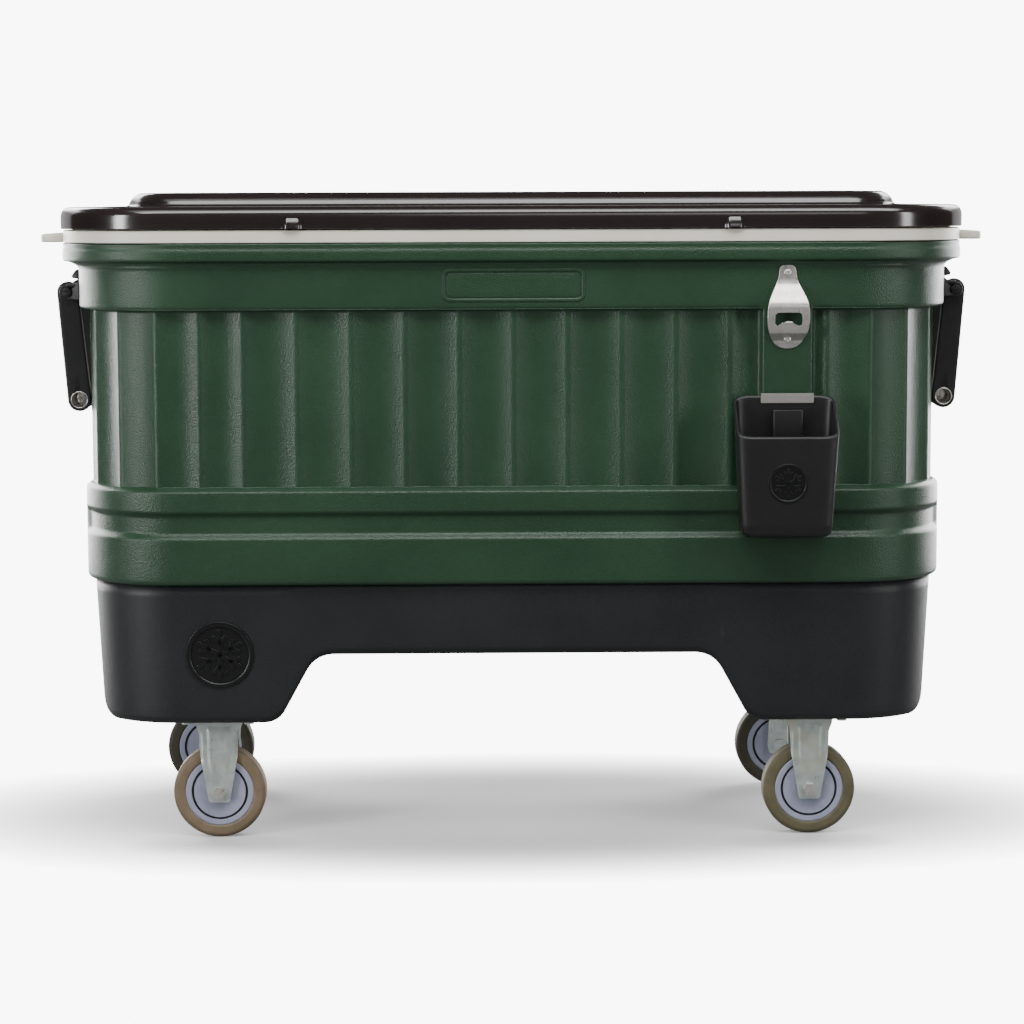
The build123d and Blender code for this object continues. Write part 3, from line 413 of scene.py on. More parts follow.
# the lid's ends get only a thin coat: painted shade that keeps them dark
addCoatShadedAtEnds(smokeLid, sideAt=(0.35, 0.8), endShare=0.06, ior=1.75, rough=0.17)
wheelCore = mouldedMaterial("wheelCore", (146, 150, 172), (162, 166, 186), (190, 194, 208), 0.5, 0.08, 900.0,
                            wearAndHighlight=0.3,
                            mottleScale=20.0)
sealRubber = mouldedMaterial("sealRubber", (120, 118, 112), (140, 138, 132), (160, 158, 150), 0.7, 0.1, 900.0)
greyTab = mouldedMaterial("greyTab", (128, 126, 122), (142, 140, 135), (170, 168, 162), 0.45, 0.1, 900.0)
foamFill = mouldedMaterial("foamFill", (214, 200, 160), (228, 216, 178), (236, 228, 196), 0.85, 0.4, 300.0)
# the 'dark' tone, given only to the two rear wheels, is painted shade: the same tyre darkened where it stands back
# under the base
tyreTones = {
    "warm": ("tyreWarm", (104, 92, 70), (130, 112, 92), (150, 134, 110)),
    "olive": ("tyreOlive", (86, 82, 60), (104, 98, 74), (128, 122, 96)),
    "dark": ("tyreRearShaded", (56, 54, 42), (72, 69, 54), (98, 94, 74)),
}
tyreRubber = {key: mouldedMaterial(*tones, 0.6, 0.12, 800.0, mottleScale=26.0) for key, tones in tyreTones.items()}
brushedSteel = metalMaterial("brushedSteel", (200, 196, 190), (226, 223, 218), (240, 238, 234), 0.8, 0.27, 0.12,
                             (1.0, 1.0, 0.06), 900.0, 40.0)
zincPlate = metalMaterial("zincPlate", (196, 208, 206), (226, 234, 228), (240, 244, 242), 0.7, 0.3, 0.2,
                          (1.0, 1.0, 0.12), 300.0, 55.0, tint=(214, 212, 176), tintAmount=0.45)
print("materials ready")

# plan outline shared by hull, rim and lid

plan = {"frontHalf": 449.0, "endHalf": 93.5, "cornerR": 124.0, "pitch": 71.6, "flutes": 5, "cornerFlutes": 5,
        "fluteDepth": 7.6, "cornerDepth": 7.4, "soft": 0.35, "padX": (326.0, 396.0)}


# stations of one quarter by distance S from the middle of the front: straight, then a quarter turn.
# Each station has its place on the skeleton rectangle, the outward direction, and the flute depth there.
def quarterStations(step):
    cornerEnd = plan["frontHalf"] + plan["cornerR"] * pi / 2
    straightEnd = plan["pitch"] * plan["flutes"]
    edges = np.r_[np.arange(plan["flutes"] + 1) * plan["pitch"],
                  straightEnd + (cornerEnd - straightEnd) / plan["cornerFlutes"] * np.arange(1,
                      plan["cornerFlutes"] + 1)]
    extra = [plan["padX"][0] + d for d in (-1, 0.5, 2, 3.5, 5)] + [plan["padX"][1] + d for d in (-5, -3.5, -2, -0.5,
        1)]
    perFacet = max(2, int(round(plan["pitch"] / step)))
    s = np.unique(np.r_[np.concatenate([np.linspace(a, b, perFacet + 1) for a, b in zip(edges[:-1], edges[1:])]),
                        extra])
    s = s[np.r_[True, np.diff(s) > 0.05]]
    turn = np.clip((s - plan["frontHalf"]) / plan["cornerR"], 0, pi / 2)
    facet = np.clip(np.searchsorted(edges, s, side="right") - 1, 0, len(edges) - 2)
    t = (s - edges[facet]) / (edges[facet + 1] - edges[facet])
    deep = np.where(facet < plan["flutes"], plan["fluteDepth"], plan["cornerDepth"])
    bowl = deep * (1 - (2 * t - 1) ** 2)
    depth = np.sqrt(bowl ** 2 + plan["soft"] ** 2 + 0.55 * bowl) - plan["soft"]
    depth = np.clip(depth, 0, None)
    return np.minimum(s, plan["frontHalf"]), np.full_like(s, -plan["endHalf"]), np.sin(turn), -np.cos(turn), depth


# the whole loop: front right, right end, rear right, rear left, left end, front left
def fullStations(step):
    x, y, nx, ny, d = quarterStations(step)
    endY = np.linspace(-plan["endHalf"], plan["endHalf"], max(6, int(2 * plan["endHalf"] / step / 2)) + 1)[1:-1]
    endN = len(endY)
    right = [np.r_[x, np.full(endN, plan["frontHalf"]), x[::-1]], np.r_[y, endY, -y[::-1]],
             np.r_[nx, np.ones(endN), nx[::-1]], np.r_[ny, np.zeros(endN), -ny[::-1]],
             np.r_[d, np.zeros(endN), d[::-1]]]
    left = [-right[0][::-1][1:-1], right[1][::-1][1:-1], -right[2][::-1][1:-1], right[3][::-1][1:-1],
            right[4][::-1][1:-1]]
    return [np.r_[a, b] for a, b in zip(right, left)]


# rows are (skeleton scale k, reach in x, reach in y, z): P = k * skeleton + outward * reach
def sweptRows(rows, stations):
    x, y, nx, ny, _ = stations
    k, ax, ay, z = [rows[:, i][:, None] for i in range(4)]
    return np.stack([k * x + nx * ax, k * y + ny * ay, z + 0 * x], -1)


# (half x, half y, z) profile points to sweep rows
def rowsFromHalves(profile):
    p = np.asarray(profile, float)
    return np.column_stack([np.ones(len(p)), p[:, 0] - plan["frontHalf"], p[:, 1] - plan["endHalf"], p[:, 2]])


# hull

hull = {"step": 4.6, "grooveDepth": 6.5, "padY": -224.5}


# outer wall rows: half sizes per level with rounded changes, then the lip's top, the inside wall and back under
def makeHull():
    outer = rounded([
        (565, 350.2), (581, 350.2, 9), (581.2, 412, 5), (581.2, 422, 5), (581.2, 439, 5), (581.4, 449, 5),
        (581, 475.5, 4),
        (575, 479.2, 3), (573, 479.6), (573, 480.2), (573, 480.9), (573, 483),
        (573, 488), (573, 705), (573, 710.5), (573, 712.6), (573, 714, .5), (586, 715.5, 5), (586, 771, 6),
        (599, 777.5, 6),
        (608, 778.5, 7), (608, 792, 4), (606.5, 796, 3), (607, 802.8, 3), (596, 802.8, 2), (576, 800, 4),
        (564, 776, 6), (564, 356, 4), (558, 352),
    ], 7)
    outer = divided(outer, 17)
    z = outer[:, 1]
    hx = outer[:, 0]
    # depth of the half size in Y follows the same steps, taken per level
    levels = np.array([350, 475, 480, 714, 716, 771, 778, 803])
    yFor = np.array([228.0, 228, 217.5, 217.5, 224.5, 224.5, 236, 236])
    xFor = np.array([581.0, 581, 573, 573, 586, 586, 608, 608])
    hy = hx - np.interp(z, levels, xFor) + np.interp(z, levels, yFor)
    stations = fullStations(hull["step"])
    x, y, nx, ny, depth = stations
    rows = rowsFromHalves(np.column_stack([hx, hy, z]))
    pts = sweptRows(rows, stations)
    isOuter = (np.arange(len(z)) < np.argmax(z))[:, None]
    # flutes fade in just above the belt and out just below the top band
    flute = smoothStep(z, 479.5, 480.2) * (1 - smoothStep(z, 712.6, 714))
    # the waist groove, absent across the flat ends
    groove = smoothStep(z, 411, 420.5) * (1 - smoothStep(z, 440.5, 450))
    around = smoothStep(np.abs(ny), 0.10, 0.24)
    push = (flute[:, None] * depth + groove[:, None] * hull["grooveDepth"] * around) * isOuter
    pts[..., 0] -= nx * push
    pts[..., 1] -= ny * push
    # flush pad behind the opener and bin
    onPad = smoothStep(pts[..., 0], 324.5, 329) * (1 - smoothStep(pts[..., 0], 393, 397.5)) * (pts[..., 1] < -150)
    band = smoothStep(z, 474, 478)[:, None] * (z < 760)[:, None] * isOuter
    target = np.minimum(pts[..., 1], hull["padY"])
    pts[..., 1] += onPad * band * (target - pts[..., 1])
    obj = gridPiece("hullShell", pts, wrapRows=True)
    return finishPiece(obj, "chest", greenHull, "green_plastic", "hull")


makeHull()

# blank raised name panel with a rim, on the top band
panel = {"size": (188.0, 44.0), "z": 747.0, "rise": 1.4}
panelOuter = roundRect(*panel["size"], 12, 160, 0, panel["z"])
panelInner = roundRect(panel["size"][0] - 9, panel["size"][1] - 9, 8, 160, 0, panel["z"])
panelRim = platePiece("panelRim", panelOuter, 3.0, 1.0, onFront(hull["padY"] + 1.5 - panel["rise"]),
                     hole=panelInner, rings=2)
panelFace = platePiece("panelFace", roundRect(176, 32, 7, 160, 0, panel["z"]), 2.0, 0.8,
                       onFront(hull["padY"] + 1.0 - 0.7), rings=2)
finishPiece(joined("namePanel", [panelRim, panelFace]), "chest", greenHull, "green_plastic")
print("hull done")

# liner and its rim

tub = {"tabHalfY": 99.8, "tabEnd": 639.8, "tabRoot": 596.0, "tabR": 34.0, "tabZ": 808.9, "tabThick": 11.2}


# from the middle of the floor out, up the wall, over the rim, down the skirt and back under to the middle
def makeLiner():
    section = rounded([(520, 400), (533, 400, 12), (533, 819.9, 4), (607, 819.9, 3), (607, 803.3, 1.5),
                       (603.4, 803.3, 1),
                       (603.4, 815.9, 2), (536.6, 815.9, 2), (536.6, 396.6, 14), (520, 396.6)], 6)
    profile = divided(section, 30)
    hx, z = profile[:, 0], profile[:, 1]
    t = np.clip((hx - 533) / (607 - 533), 0, 1)
    hy = np.where(hx <= 536.6, hx - 359, 174 + t * (235.5 - 174))
    corner = np.where(hx <= 536.6, 86 + (hx - 533), 86 + t * (147 - 86))
    x, y, nx, ny, _ = fullStations(9)
    # the tub's own corner is tighter than the rim's: the skeleton grows and the reach shrinks to match
    k = (hx - corner)[:, None] / plan["frontHalf"]
    ky = (hy - corner)[:, None] / plan["endHalf"]
    pts = np.stack([k * x + nx * corner[:, None], ky * y + ny * corner[:, None], z[:, None] + 0 * x], -1)
    floorTop = np.stack([pts[0] * [f, f, 1] for f in (0.0, 0.25, 0.5, 0.75)])
    floorLow = np.stack([pts[-1] * [f, f, 1] for f in (0.75, 0.5, 0.25, 0.0)])
    obj = gridPiece("linerTub", np.concatenate([floorTop, pts, floorLow]))
    return finishPiece(obj, "chest", whiteLiner, "white_plastic", "liner")


makeLiner()


# an end tab: a rounded plate whose inner part is buried in the rim
def makeTab(side):
    width = tub["tabEnd"] - tub["tabRoot"]
    outline = roundRect(width, 2 * tub["tabHalfY"], tub["tabR"], 140, side * (tub["tabRoot"] + width / 2), 0)
    outline[:, 0] = np.where(np.abs(outline[:, 0]) < 604, side * 600, outline[:, 0])
    obj = platePiece("linerTab" + ("Right" if side > 0 else "Left"), outline, tub["tabThick"], 2.5,
                     onLevel(tub["tabZ"]), rings=3)
    return finishPiece(obj, "chest", whiteLiner, "white_plastic")


for side in (-1, 1):
    makeTab(side)
print("liner done")

# lid

lidLook = {"ribX": 289.5, "ribW": 31.0, "ribOut": 4.6, "ribTop": 847.0, "edge": 30.0}


# from the crown's middle down the slope, over the tier and its rounded edge, down the skirt, and back inside
def makeLid():
    shape = rounded([
        (470, 869.3), (507, 868.8, 11), (517.5, 860, 9), (521, 851.4, 4), (578, 850.6, 0), (610, 850.2, 30),
        (610, 821.3, 1.2),
        (606.2, 821.3, 1), (606, 845.5, 24), (516, 846.4, 6), (503, 863.6, 6), (470, 864.4),
    ], 9)
    profile = divided(shape, 14)
    hx, z = profile[:, 0], profile[:, 1]
    # crown corners are tighter than the skirt's
    t = np.clip((hx - 496) / (610 - 496), 0, 1)
    hy = np.interp(hx, [470, 508, 521, 610], [100, 138, 151, 238.5])
    corner = np.interp(hx, [470, 508, 521, 610], [46, 66, 80, 150])
    x, y, nx, ny, _ = fullStations(7)
    k = (hx - corner)[:, None] / plan["frontHalf"]
    ky = (hy - corner)[:, None] / plan["endHalf"]
    pts = np.stack([k * x + nx * corner[:, None], ky * y + ny * corner[:, None], z[:, None] + 0 * x], -1)
    crown = np.stack([pts[0] * [f, f, 1] + [0, 0, 0.15 * (1 - f)] for f in (0, 0.2, 0.4, 0.6, 0.8)])
    under = np.stack([pts[-1] * [f, f, 1] for f in (0.8, 0.6, 0.4, 0.2, 0)])
    obj = gridPiece("lidShell", np.concatenate([crown, pts, under]))
    return finishPiece(obj, "lid", smokeLid, "smoke_plastic", "lid")


makeLid()


# a shallow half-round rib on the front skirt, fading into the rounded edge above
def makeLidRib(cx):
    u = np.linspace(-1, 1, 60)
    z = np.linspace(821.4, lidLook["ribTop"], 40)
    gridU, gridZ = np.meshgrid(u, z)
    fade = 1 - smoothStep(gridZ, lidLook["ribTop"] - 5, lidLook["ribTop"])
    out = lidLook["ribOut"] * smoothStep(1 - np.abs(gridU), 0.0, 0.62) * fade
    back = 3.0
    r = lidLook["edge"]
    skirt = 238.5 - r + np.sqrt(np.clip(r ** 2 - (gridZ - 820.2) ** 2, 0, None))
    half = lidLook["ribW"] / 2 * (1 + 0.10 * smoothStep(gridZ, 836, 846))
    front = np.stack([cx + gridU * half, -(skirt + out - 0.5), gridZ], -1)
    rear = np.stack([cx + gridU * half, -(skirt - back), gridZ], -1)
    pts = np.concatenate([front, rear[:, ::-1]], 1)
    low, high = pts[:1].copy(), pts[-1:].copy()
    low[:] = pts[0].mean(0)
    high[:] = pts[-1].mean(0)
    obj = gridPiece("lidRib" + ("Right" if cx > 0 else "Left"), np.concatenate([low, pts, high]), angle=50)
    return finishPiece(obj, "lid", smokeLid, "smoke_plastic")


for side in (-1, 1):
    makeLidRib(side * lidLook["ribX"])
print("lid done")

# base

plinth = {"halfX": 569.5, "halfY": 217.0, "corner": 112.0, "top": 349.8, "foot": 161.5, "arch": 254.5, "recess": 5.0,
          "archTop": 268.0, "archFoot": 322.0, "edge": 11.0, "endEdge": 24.0, "bend": 26.0, "taper": 9.0 / 190.0}


# sections along X: each is a rounded block from the underside, which follows the arch, up to the flat top
def makeBase():
    b = plinth
    bend = rounded([(-600, b["foot"]), (-b["archFoot"], b["foot"], 20), (-b["archTop"], b["arch"], b["bend"]),
                    (b["archTop"], b["arch"], b["bend"]), (b["archFoot"], b["foot"], 20), (600, b["foot"])], 12)
    edgeX = b["halfX"]
    x = np.unique(np.r_[bend[1:-1, 0], np.linspace(-260, 260, 40), np.linspace(-b["archFoot"], -b["archTop"], 16),
                        np.linspace(b["archTop"], b["archFoot"], 16), np.linspace(325, 450, 14),
                        -np.linspace(325, 450, 14),
                        edgeX - b["corner"] * (1 - np.sin(np.linspace(0, pi / 2, 34))),
                        -edgeX + b["corner"] * (1 - np.sin(np.linspace(0, pi / 2, 34)))])
    x = x[np.r_[True, np.diff(x) > 1e-4]]
    over = np.clip(np.abs(x) - (edgeX - b["corner"]), 0, b["corner"])
    half = b["halfY"] - b["corner"] + np.sqrt(np.clip(b["corner"] ** 2 - over ** 2, 0, None))
    low = np.interp(x, bend[:, 0], bend[:, 1])
    # the ends' lower edge is rounded too
    near = np.clip(np.abs(x) - (edgeX - b["endEdge"]), 0, b["endEdge"])
    low = low + b["endEdge"] - np.sqrt(np.clip(b["endEdge"] ** 2 - near ** 2, 0, None))
    # section loop: parameters (side -1..1, height 0..1, rounding angle)
    a = np.linspace(0, pi / 2, 8)
    flat = np.linspace(-1, 1, 22)
    yArc, zArc = 1 - np.cos(a), 1 - np.sin(a)
    ones, heights = np.ones(len(a) - 1), np.linspace(0, 1, 12)[1:]
    corner = np.column_stack([ones, 1 - np.sin(a[1:]), 0 * ones, 1 - np.cos(a[1:])])     # rounded lower edge
    wall = np.column_stack([0 * heights + 1, 0 * heights, heights, 0 * heights + 1])     # rear wall, upwards
    under = np.column_stack([flat, 0 * flat + 1, 0 * flat, 0 * flat])                    # underside, front to rear
    over = np.column_stack([flat, 0 * flat, 0 * flat + 1, 0 * flat + 1])[::-1][1:-1]     # top, rear to front
    mirror = np.array([-1, 1, 1, 1])
    loop = np.concatenate([under, corner, wall, over, wall[::-1] * mirror, corner[::-1] * mirror])
    side, inset, up, rnd = [loop[:, k][None] for k in range(4)]
    lowCol, halfCol = low[:, None], half[:, None]
    e = b["edge"]
    z = lowCol + e * rnd + up * (b["top"] - lowCol - e)
    # underside hollowed a little inside its rim, over the feet only
    inside = (1 - smoothStep(np.abs(side), 0.86, 0.92)) * (up < 0.01) * (rnd < 0.001) * (1 - smoothStep(np.abs(x),
        530, 545))[:, None]
    z = z + b["recess"] * inside * (1 - smoothStep(low, 170, 185))[:, None]
    y = side * (halfCol - e * inset)
    squeeze = 1 - b["taper"] * (b["top"] - z) / b["halfX"]
    squeezeY = 1 - b["taper"] * (b["top"] - z) / b["halfY"]
    pts = np.stack([x[:, None] * squeeze, y * squeezeY, z], -1)
    # the leaning end faces close towards a middle point that lies on their own plane
    middleZ = (b["foot"] + b["endEdge"] + b["top"]) / 2
    caps = []
    for edge in (pts[:1], pts[-1:]):
        middle = np.array([np.sign(edge[0, 0,
                                        0]) * b["halfX"] * (1 - b["taper"] * (b["top"] - middleZ) / b["halfX"]), 0,
                                        middleZ])
        caps.append([middle + f * (edge - middle) for f in (0, 0.25, 0.5, 0.75, 0.93)])
    obj = gridPiece("basePlinth", np.concatenate(caps[0] + [pts] + caps[1][::-1]))
    return finishPiece(obj, "chest", blackBase, "black_plastic", "base")


makeBase()


# a generic frost mark: a ring and a six-armed flake in low relief, placed on a sloping front face
def frostMark(name, cx, cz, radius, face, body, material, slot, rise=1.3):
    place = lambda u, v, h: np.stack([u, face(v) - h, v], -1)
    parts = [platePiece(name + "Ring", circle(radius, 120, cx, cz), 2 * rise, 0.9, place,
                        hole=circle(radius * 0.86, 120, cx, cz), rings=2)]
    parts.append(platePiece(name + "Disc", circle(radius * 0.9, 120, cx, cz), 0.5 * rise, 0.2, place, rings=8))
    bar = radius * 0.065
    for arm in range(6):
        spokes = [((0, 0), (0, 0.70)), ((0, 0.36), (0.17, 0.53)), ((0, 0.36), (-0.17, 0.53))]
        turn = arm * pi / 3
        rot = np.array([[np.cos(turn), -np.sin(turn)], [np.sin(turn), np.cos(turn)]])
        for start, end in spokes:
            p, q = rot @ (np.array(start) * radius), rot @ (np.array(end) * radius)
            along = (q - p) / np.linalg.norm(q - p)
            length = np.linalg.norm(q - p) + 2 * bar
            ring = roundRect(length, 2 * bar, bar, 40)
            mid = (p + q) / 2
            world = ring[:, :1] * along + ring[:, 1:] * np.array([-along[1], along[0]]) + mid + np.array([cx, cz])
            parts.append(platePiece(name + "Bar", world, 2 * rise, 0.6, place))
    return finishPiece(joined(name, parts), body, material, slot)


baseFace = lambda z: -217.0 + (350.0 - z) * plinth["taper"] - 0.1
frostMark("baseMark", -393.5, 256.0, 45.0, baseFace, "chest", blackGloss, "black_plastic", 2.4)
print("base done")

# end handles

bail = {"pivot": (606.5, 735.0, 14.5), "grip": (593.0, 588.0, 16.0), "hole": 10.5, "armY": (57.5, 70.5)}


# convex outline round two circles, by angle about the grip's centre
def armOutline(side, n=120):
    (px, pz, pr), (gx, gz, gr) = bail["pivot"], bail["grip"]
    a = np.linspace(0, 2 * pi, 360, endpoint=False)
    pts = np.vstack([circle(pr, 360, px, pz), circle(gr, 360, gx, gz)])
    directions = np.stack([np.cos(a), np.sin(a)], -1)
    hullPts = pts[np.unique(np.argmax(directions @ pts.T, axis=1))]
    ang = np.arctan2(hullPts[:, 1] - gz, hullPts[:, 0] - gx)
    hullPts = hullPts[np.argsort(ang)]
    ring = evenRing(hullPts, n)
    ang = np.arctan2(ring[:, 1] - gz, ring[:, 0] - gx)
    hole = np.stack([gx + bail["hole"] * np.cos(ang), gz + bail["hole"] * np.sin(ang)], -1)
    if side < 0:
        ring, hole = ring[::-1] * [-1, 1], hole[::-1] * [-1, 1]
    return ring, hole


def makeHandle(side):
    tag = "Right" if side > 0 else "Left"
    lo, hi = bail["armY"]
    parts = []
    for middle in (-(lo + hi) / 2, (lo + hi) / 2):
        ring, hole = armOutline(side)
        parts.append(platePiece("arm", ring, hi - lo - 0.2, 2.2, onFront(middle), hole=hole, rings=6))
    gx, gz, _ = bail["grip"]
    y = np.linspace(-lo - 1, lo + 1, 90)
    wave = 14.6 + 0.35 * np.cos(y * 2 * pi / 6.0) * (np.abs(y) < 50)
    profile = np.vstack([np.column_stack([wave, y]), np.column_stack([np.full(2, 11.6), [lo + 1, -lo - 1]])])
    parts.append(turned("grip", profile, side * gx, 0, gz, 72))
    obj = joined("bail" + tag, parts)
    tubeWall = np.array([(11.7, -hi - .2), (11.7, hi + .2), (bail["hole"], hi + .2), (bail["hole"], -hi - .2)])
    tube = turned("tube", tubeWall, side * gx, 0, gz, 64)
    finishPiece(joined("gripTube" + tag, [tube]), "handle_" + tag.lower(), brushedSteel, "stainless")
    finishPiece(obj, "handle_" + tag.lower(), blackMoulding, "black_plastic", "handle_" + tag.lower())


for side in (-1, 1):
    makeHandle(side)
for tag in ("left", "right"):
    for part, width in (("bracket_", 1.2), ("bumper_", 1.0), ("pins_", 0.5)):
        eased("handle_" + part + tag, "chest", width, blackMoulding, "black_plastic")
eased("bracket_screws", "chest", 0.6, brushedSteel, "stainless")
print("handles done")

# opener

opener = {"x": 360.5, "face": 224.5, "stand": 17.0, "thick": 2.2}


# how far the plate stands off the pad at a height: flat tab, slope out, bowed front, quick return, and a flat tail
# that the bin's tab passes when the bin is lifted off
def openerLift(z):
    return opener["stand"] * (1 - smoothStep(z, 716, 754)) * smoothStep(z, 655, 704) * smoothStep(z, 668.8, 683.0)


def makeOpener():
    x0 = opener["x"]
    shape = rounded([(x0 - 11, 772, 9), (x0 - 11.5, 755, 8), (x0 - 27.8, 722, 14), (x0 - 27.8, 686, 24),
                     (x0 - 14, 662.2, 19),
                     (x0 + 14, 662.2, 19), (x0 + 27.8, 686, 24), (x0 + 27.8, 722, 14), (x0 + 11.5, 755, 8),
                     (x0 + 11, 772, 9)], 8, True)
    slot = rounded([(x0 - 18, 710, 6), (x0 - 18, 693, 6), (x0 - 10, 691.5, 3), (x0 - 8, 698, 2.5), (x0 + 8, 698, 2.5),
                    (x0 + 10, 691.5, 3), (x0 + 18, 693, 6), (x0 + 18, 710, 6)], 6, True)
    centre = np.array([x0, 703.0])
    n = 240
    a = np.linspace(0, 2 * pi, n, endpoint=False)

    # both outlines are read off by angle about the slot's middle
    def byAngle(ring):
        dense = evenRing(ring, 2400)
        ang = np.unwrap(np.arctan2(dense[:, 1] - centre[1], dense[:, 0] - centre[0]))
        ang = ang % (2 * pi)
        order = np.argsort(ang)
        ang, dense = ang[order], dense[order]
        return np.stack([np.interp(a, ang, dense[:, 0], period=2 * pi),
                         np.interp(a, ang, dense[:, 1], period=2 * pi)], -1)

    place = lambda u, v, h: np.stack([u, -(opener["face"] + openerLift(v) + opener["thick"] / 2 + 0.05) - h, v], -1)
    obj = platePiece("openerPlate", byAngle(shape), opener["thick"], 0.7, place, hole=byAngle(slot), rings=26)
    return finishPiece(obj, "chest", brushedSteel, "stainless", "bottle_opener")


makeOpener()


# a pan head with a cross recess: a dome whose top dips along two crossing slots
def screwHead(name, x, y, z, radius, rise):
    r = np.linspace(0, 1, 16)[:, None]
    a = np.linspace(0, 2 * pi, 72, endpoint=False)[None]
    u, v = r * np.cos(a), r * np.sin(a)
    cross = np.minimum(np.abs(u), np.abs(v))
    dip = (1 - smoothStep(cross, 0.06, 0.13)) * (1 - smoothStep(np.maximum(np.abs(u), np.abs(v)), 0.42, 0.52))
    height = rise * np.sqrt(np.clip(1 - r ** 3.2, 0, 1)) - 0.45 * rise * dip
    top = np.stack([x + radius * u, y - height, z + radius * v], -1)
    base = np.stack([x + radius * u[-1:], np.full_like(u[-1:], y + 1.0), z + radius * v[-1:]], -1)
    foot = base * 0 + np.array([x, y + 1.0, z])
    return gridPiece(name, np.concatenate([top, base, foot]), angle=45)


heads = [screwHead("head", opener["x"], -opener["face"] - 2.2 - openerLift(z), z, 4.9, 2.2) for z in (762.0, 675.0)]
finishPiece(joined("openerScrews", heads), "chest", brushedSteel, "stainless", "opener_screws")
print("opener done")

# catch bin

bin = {"x": 355.5, "back": 229.5, "low": 418.0, "high": 602.0, "frontRim": 551.0, "wall": 3.5, "foot": 291.0,
       "head": 299.3, "lipY": 297.0, "floorY": -261.0, "footR": 11.0, "corner": 0.34}


# rings round a tapered tub: outside from the base's middle up to the slanted rim, over it and down inside
def makeBin():
    n = 200
    unitRing = evenRing(rounded([(u, v, bin["corner"]) for u, v in ((1, -1), (1, 1), (-1, 1), (-1, -1))], 12, True),
                        n)

    def ringAt(f, wall):
        hx = 59 + 8 * f - wall
        front = bin["foot"] + (bin["head"] - bin["foot"]) * f - wall
        back = bin["back"] + wall
        hy = (front - back) / 2
        return bin["x"] + unitRing[:, 0] * hx, -(front + back) / 2 + unitRing[:, 1] * hy

    slope = (bin["high"] - bin["frontRim"]) / (bin["lipY"] - bin["back"])
    wall, low = bin["wall"], bin["low"]
    rings = []

    def addRing(f, inset, lift=0.0, z=None):
        x, y = ringAt(f, inset)
        rim = bin["high"] - (-y - bin["back"]) * slope
        level = low + f * (rim - low) if z is None else np.full(n, z)
        rings.append(np.stack([x, y, level + lift], -1))

    rings.append(np.stack([np.full(n, bin["x"]), np.full(n, bin["floorY"]), np.full(n, low)], -1))
    addRing(0.0, 30, z=low)
    addRing(0.0, 12, z=low)
    for ang in np.linspace(0, pi / 2, 9):
        addRing(0.0, bin["footR"] * (1 - np.sin(ang)), z=low + bin["footR"] * (1 - np.cos(ang)))
    for f in np.linspace(0.09, 0.985, 22):
        addRing(f, 0.0)
    for ang in np.linspace(0, pi, 9):
        addRing(0.99, wall / 2 * (1 - np.cos(ang)), lift=1.6 * np.sin(ang))
    for f in np.linspace(0.97, 0.06, 16):
        addRing(f, wall)
    addRing(0.0, wall + 1, z=low + 5.5)
    addRing(0.0, wall + 5, z=low + wall)
    addRing(0.0, 30, z=low + wall)
    rings.append(np.stack([np.full(n, bin["x"]), np.full(n, bin["floorY"]), np.full(n, low + wall)], -1))
    obj = gridPiece("catchBinShell", np.array(rings))
    boss = platePiece("boss", roundRect(40, 10.2, 3, 60, bin["x"] + 5, -bin["back"] - 7.6), 62, 1, onLevel(551),
                      rings=1)
    return finishPiece(joined("catchBinTub", [obj, boss]), "catch_bin", binMoulding, "black_plastic", "catch_bin")


makeBin()
binSlope = (bin["head"] - bin["foot"]) / (bin["frontRim"] - bin["low"])
binFace = lambda z: 0.1 - bin["foot"] - binSlope * (z - bin["low"])
frostMark("binMark", bin["x"], 490.0, 26.0, binFace, "catch_bin", blackGloss, "black_plastic", 1.2)
eased("bin_tab", "catch_bin", 0.5, greyTab, "grey_plastic")
tabPlate = platePiece("binTabLip", roundRect(70, 11.5, 2, 90, bin["x"] + 4.5, 596.3), 1.2, 0.5,
                      onFront(-bin["back"] - 4.4), rings=2)
finishPiece(tabPlate, "catch_bin", greyTab, "grey_plastic")
print("bin done")

# casters

wheel = {"r": 62.5, "width": 32.0}
# the rear wheels take the 'dark' tyre tone, a painted shade
wheelPlaces = {
    "front_left": (-399.5, -160.0, "warm"), "front_right": (399.5, -160.0, "olive"),
    "rear_left": (-440.5, 162.0, "dark"), "rear_right": (392.5, 162.0, "dark"),
}


# tyre: a closed section with soft shoulders, a fine parting line and a lip against the core
def makeTyre(place, x, y, tone):
    w = wheel["width"] / 2
    section = rounded([(46.05, -w + 1.6), (49, -w + 0.6, 1), (58, -w + 0.3, 3), (62.5, -w + 3.5, 4), (62.5, -0.5),
                       (62.25, 0),
                       (62.5, 0.5), (62.5, w - 3.5, 4), (58, w - 0.3, 3), (49, w - 0.6, 1), (46.05, w - 1.6)], 6)
    obj = turned("tyre" + place, section, x, y, wheel["r"], 160)
    finishPiece(obj, "wheel_" + place, tyreRubber[tone], "wheel_rubber", "tyre_" + place)


# core: face with faint concentric steps, a deep ring groove, a hub boss and the bore
def makeCore(place, x, y):
    w = wheel["width"] / 2
    half = [(6.05, 18.0), (12, 18.0, 0.6), (13, 16.2, 0.6), (14.5, 15.0, 0.5)]
    for r in np.arange(16.5, 33, 1.8):
        half += [(r, 14.6, 0.3), (r + 0.45, 14.2, 0.15), (r + 0.9, 14.6, 0.3)]
    half += [(34.9, 14.8, 0.3), (35.1, 12.0, 0.2), (38.1, 12.0, 0.2), (38.3, 15.0, 0.4), (44.6, 15.2, 0.4),
             (45.9, 14.4)]
    outer = rounded(half, 3)
    inner = outer[::-1] * [1, -1]
    obj = turned("core" + place, np.vstack([outer, inner]), x, y, wheel["r"], 160)
    return finishPiece(obj, "wheel_" + place, wheelCore, "core_plastic", "core_" + place)


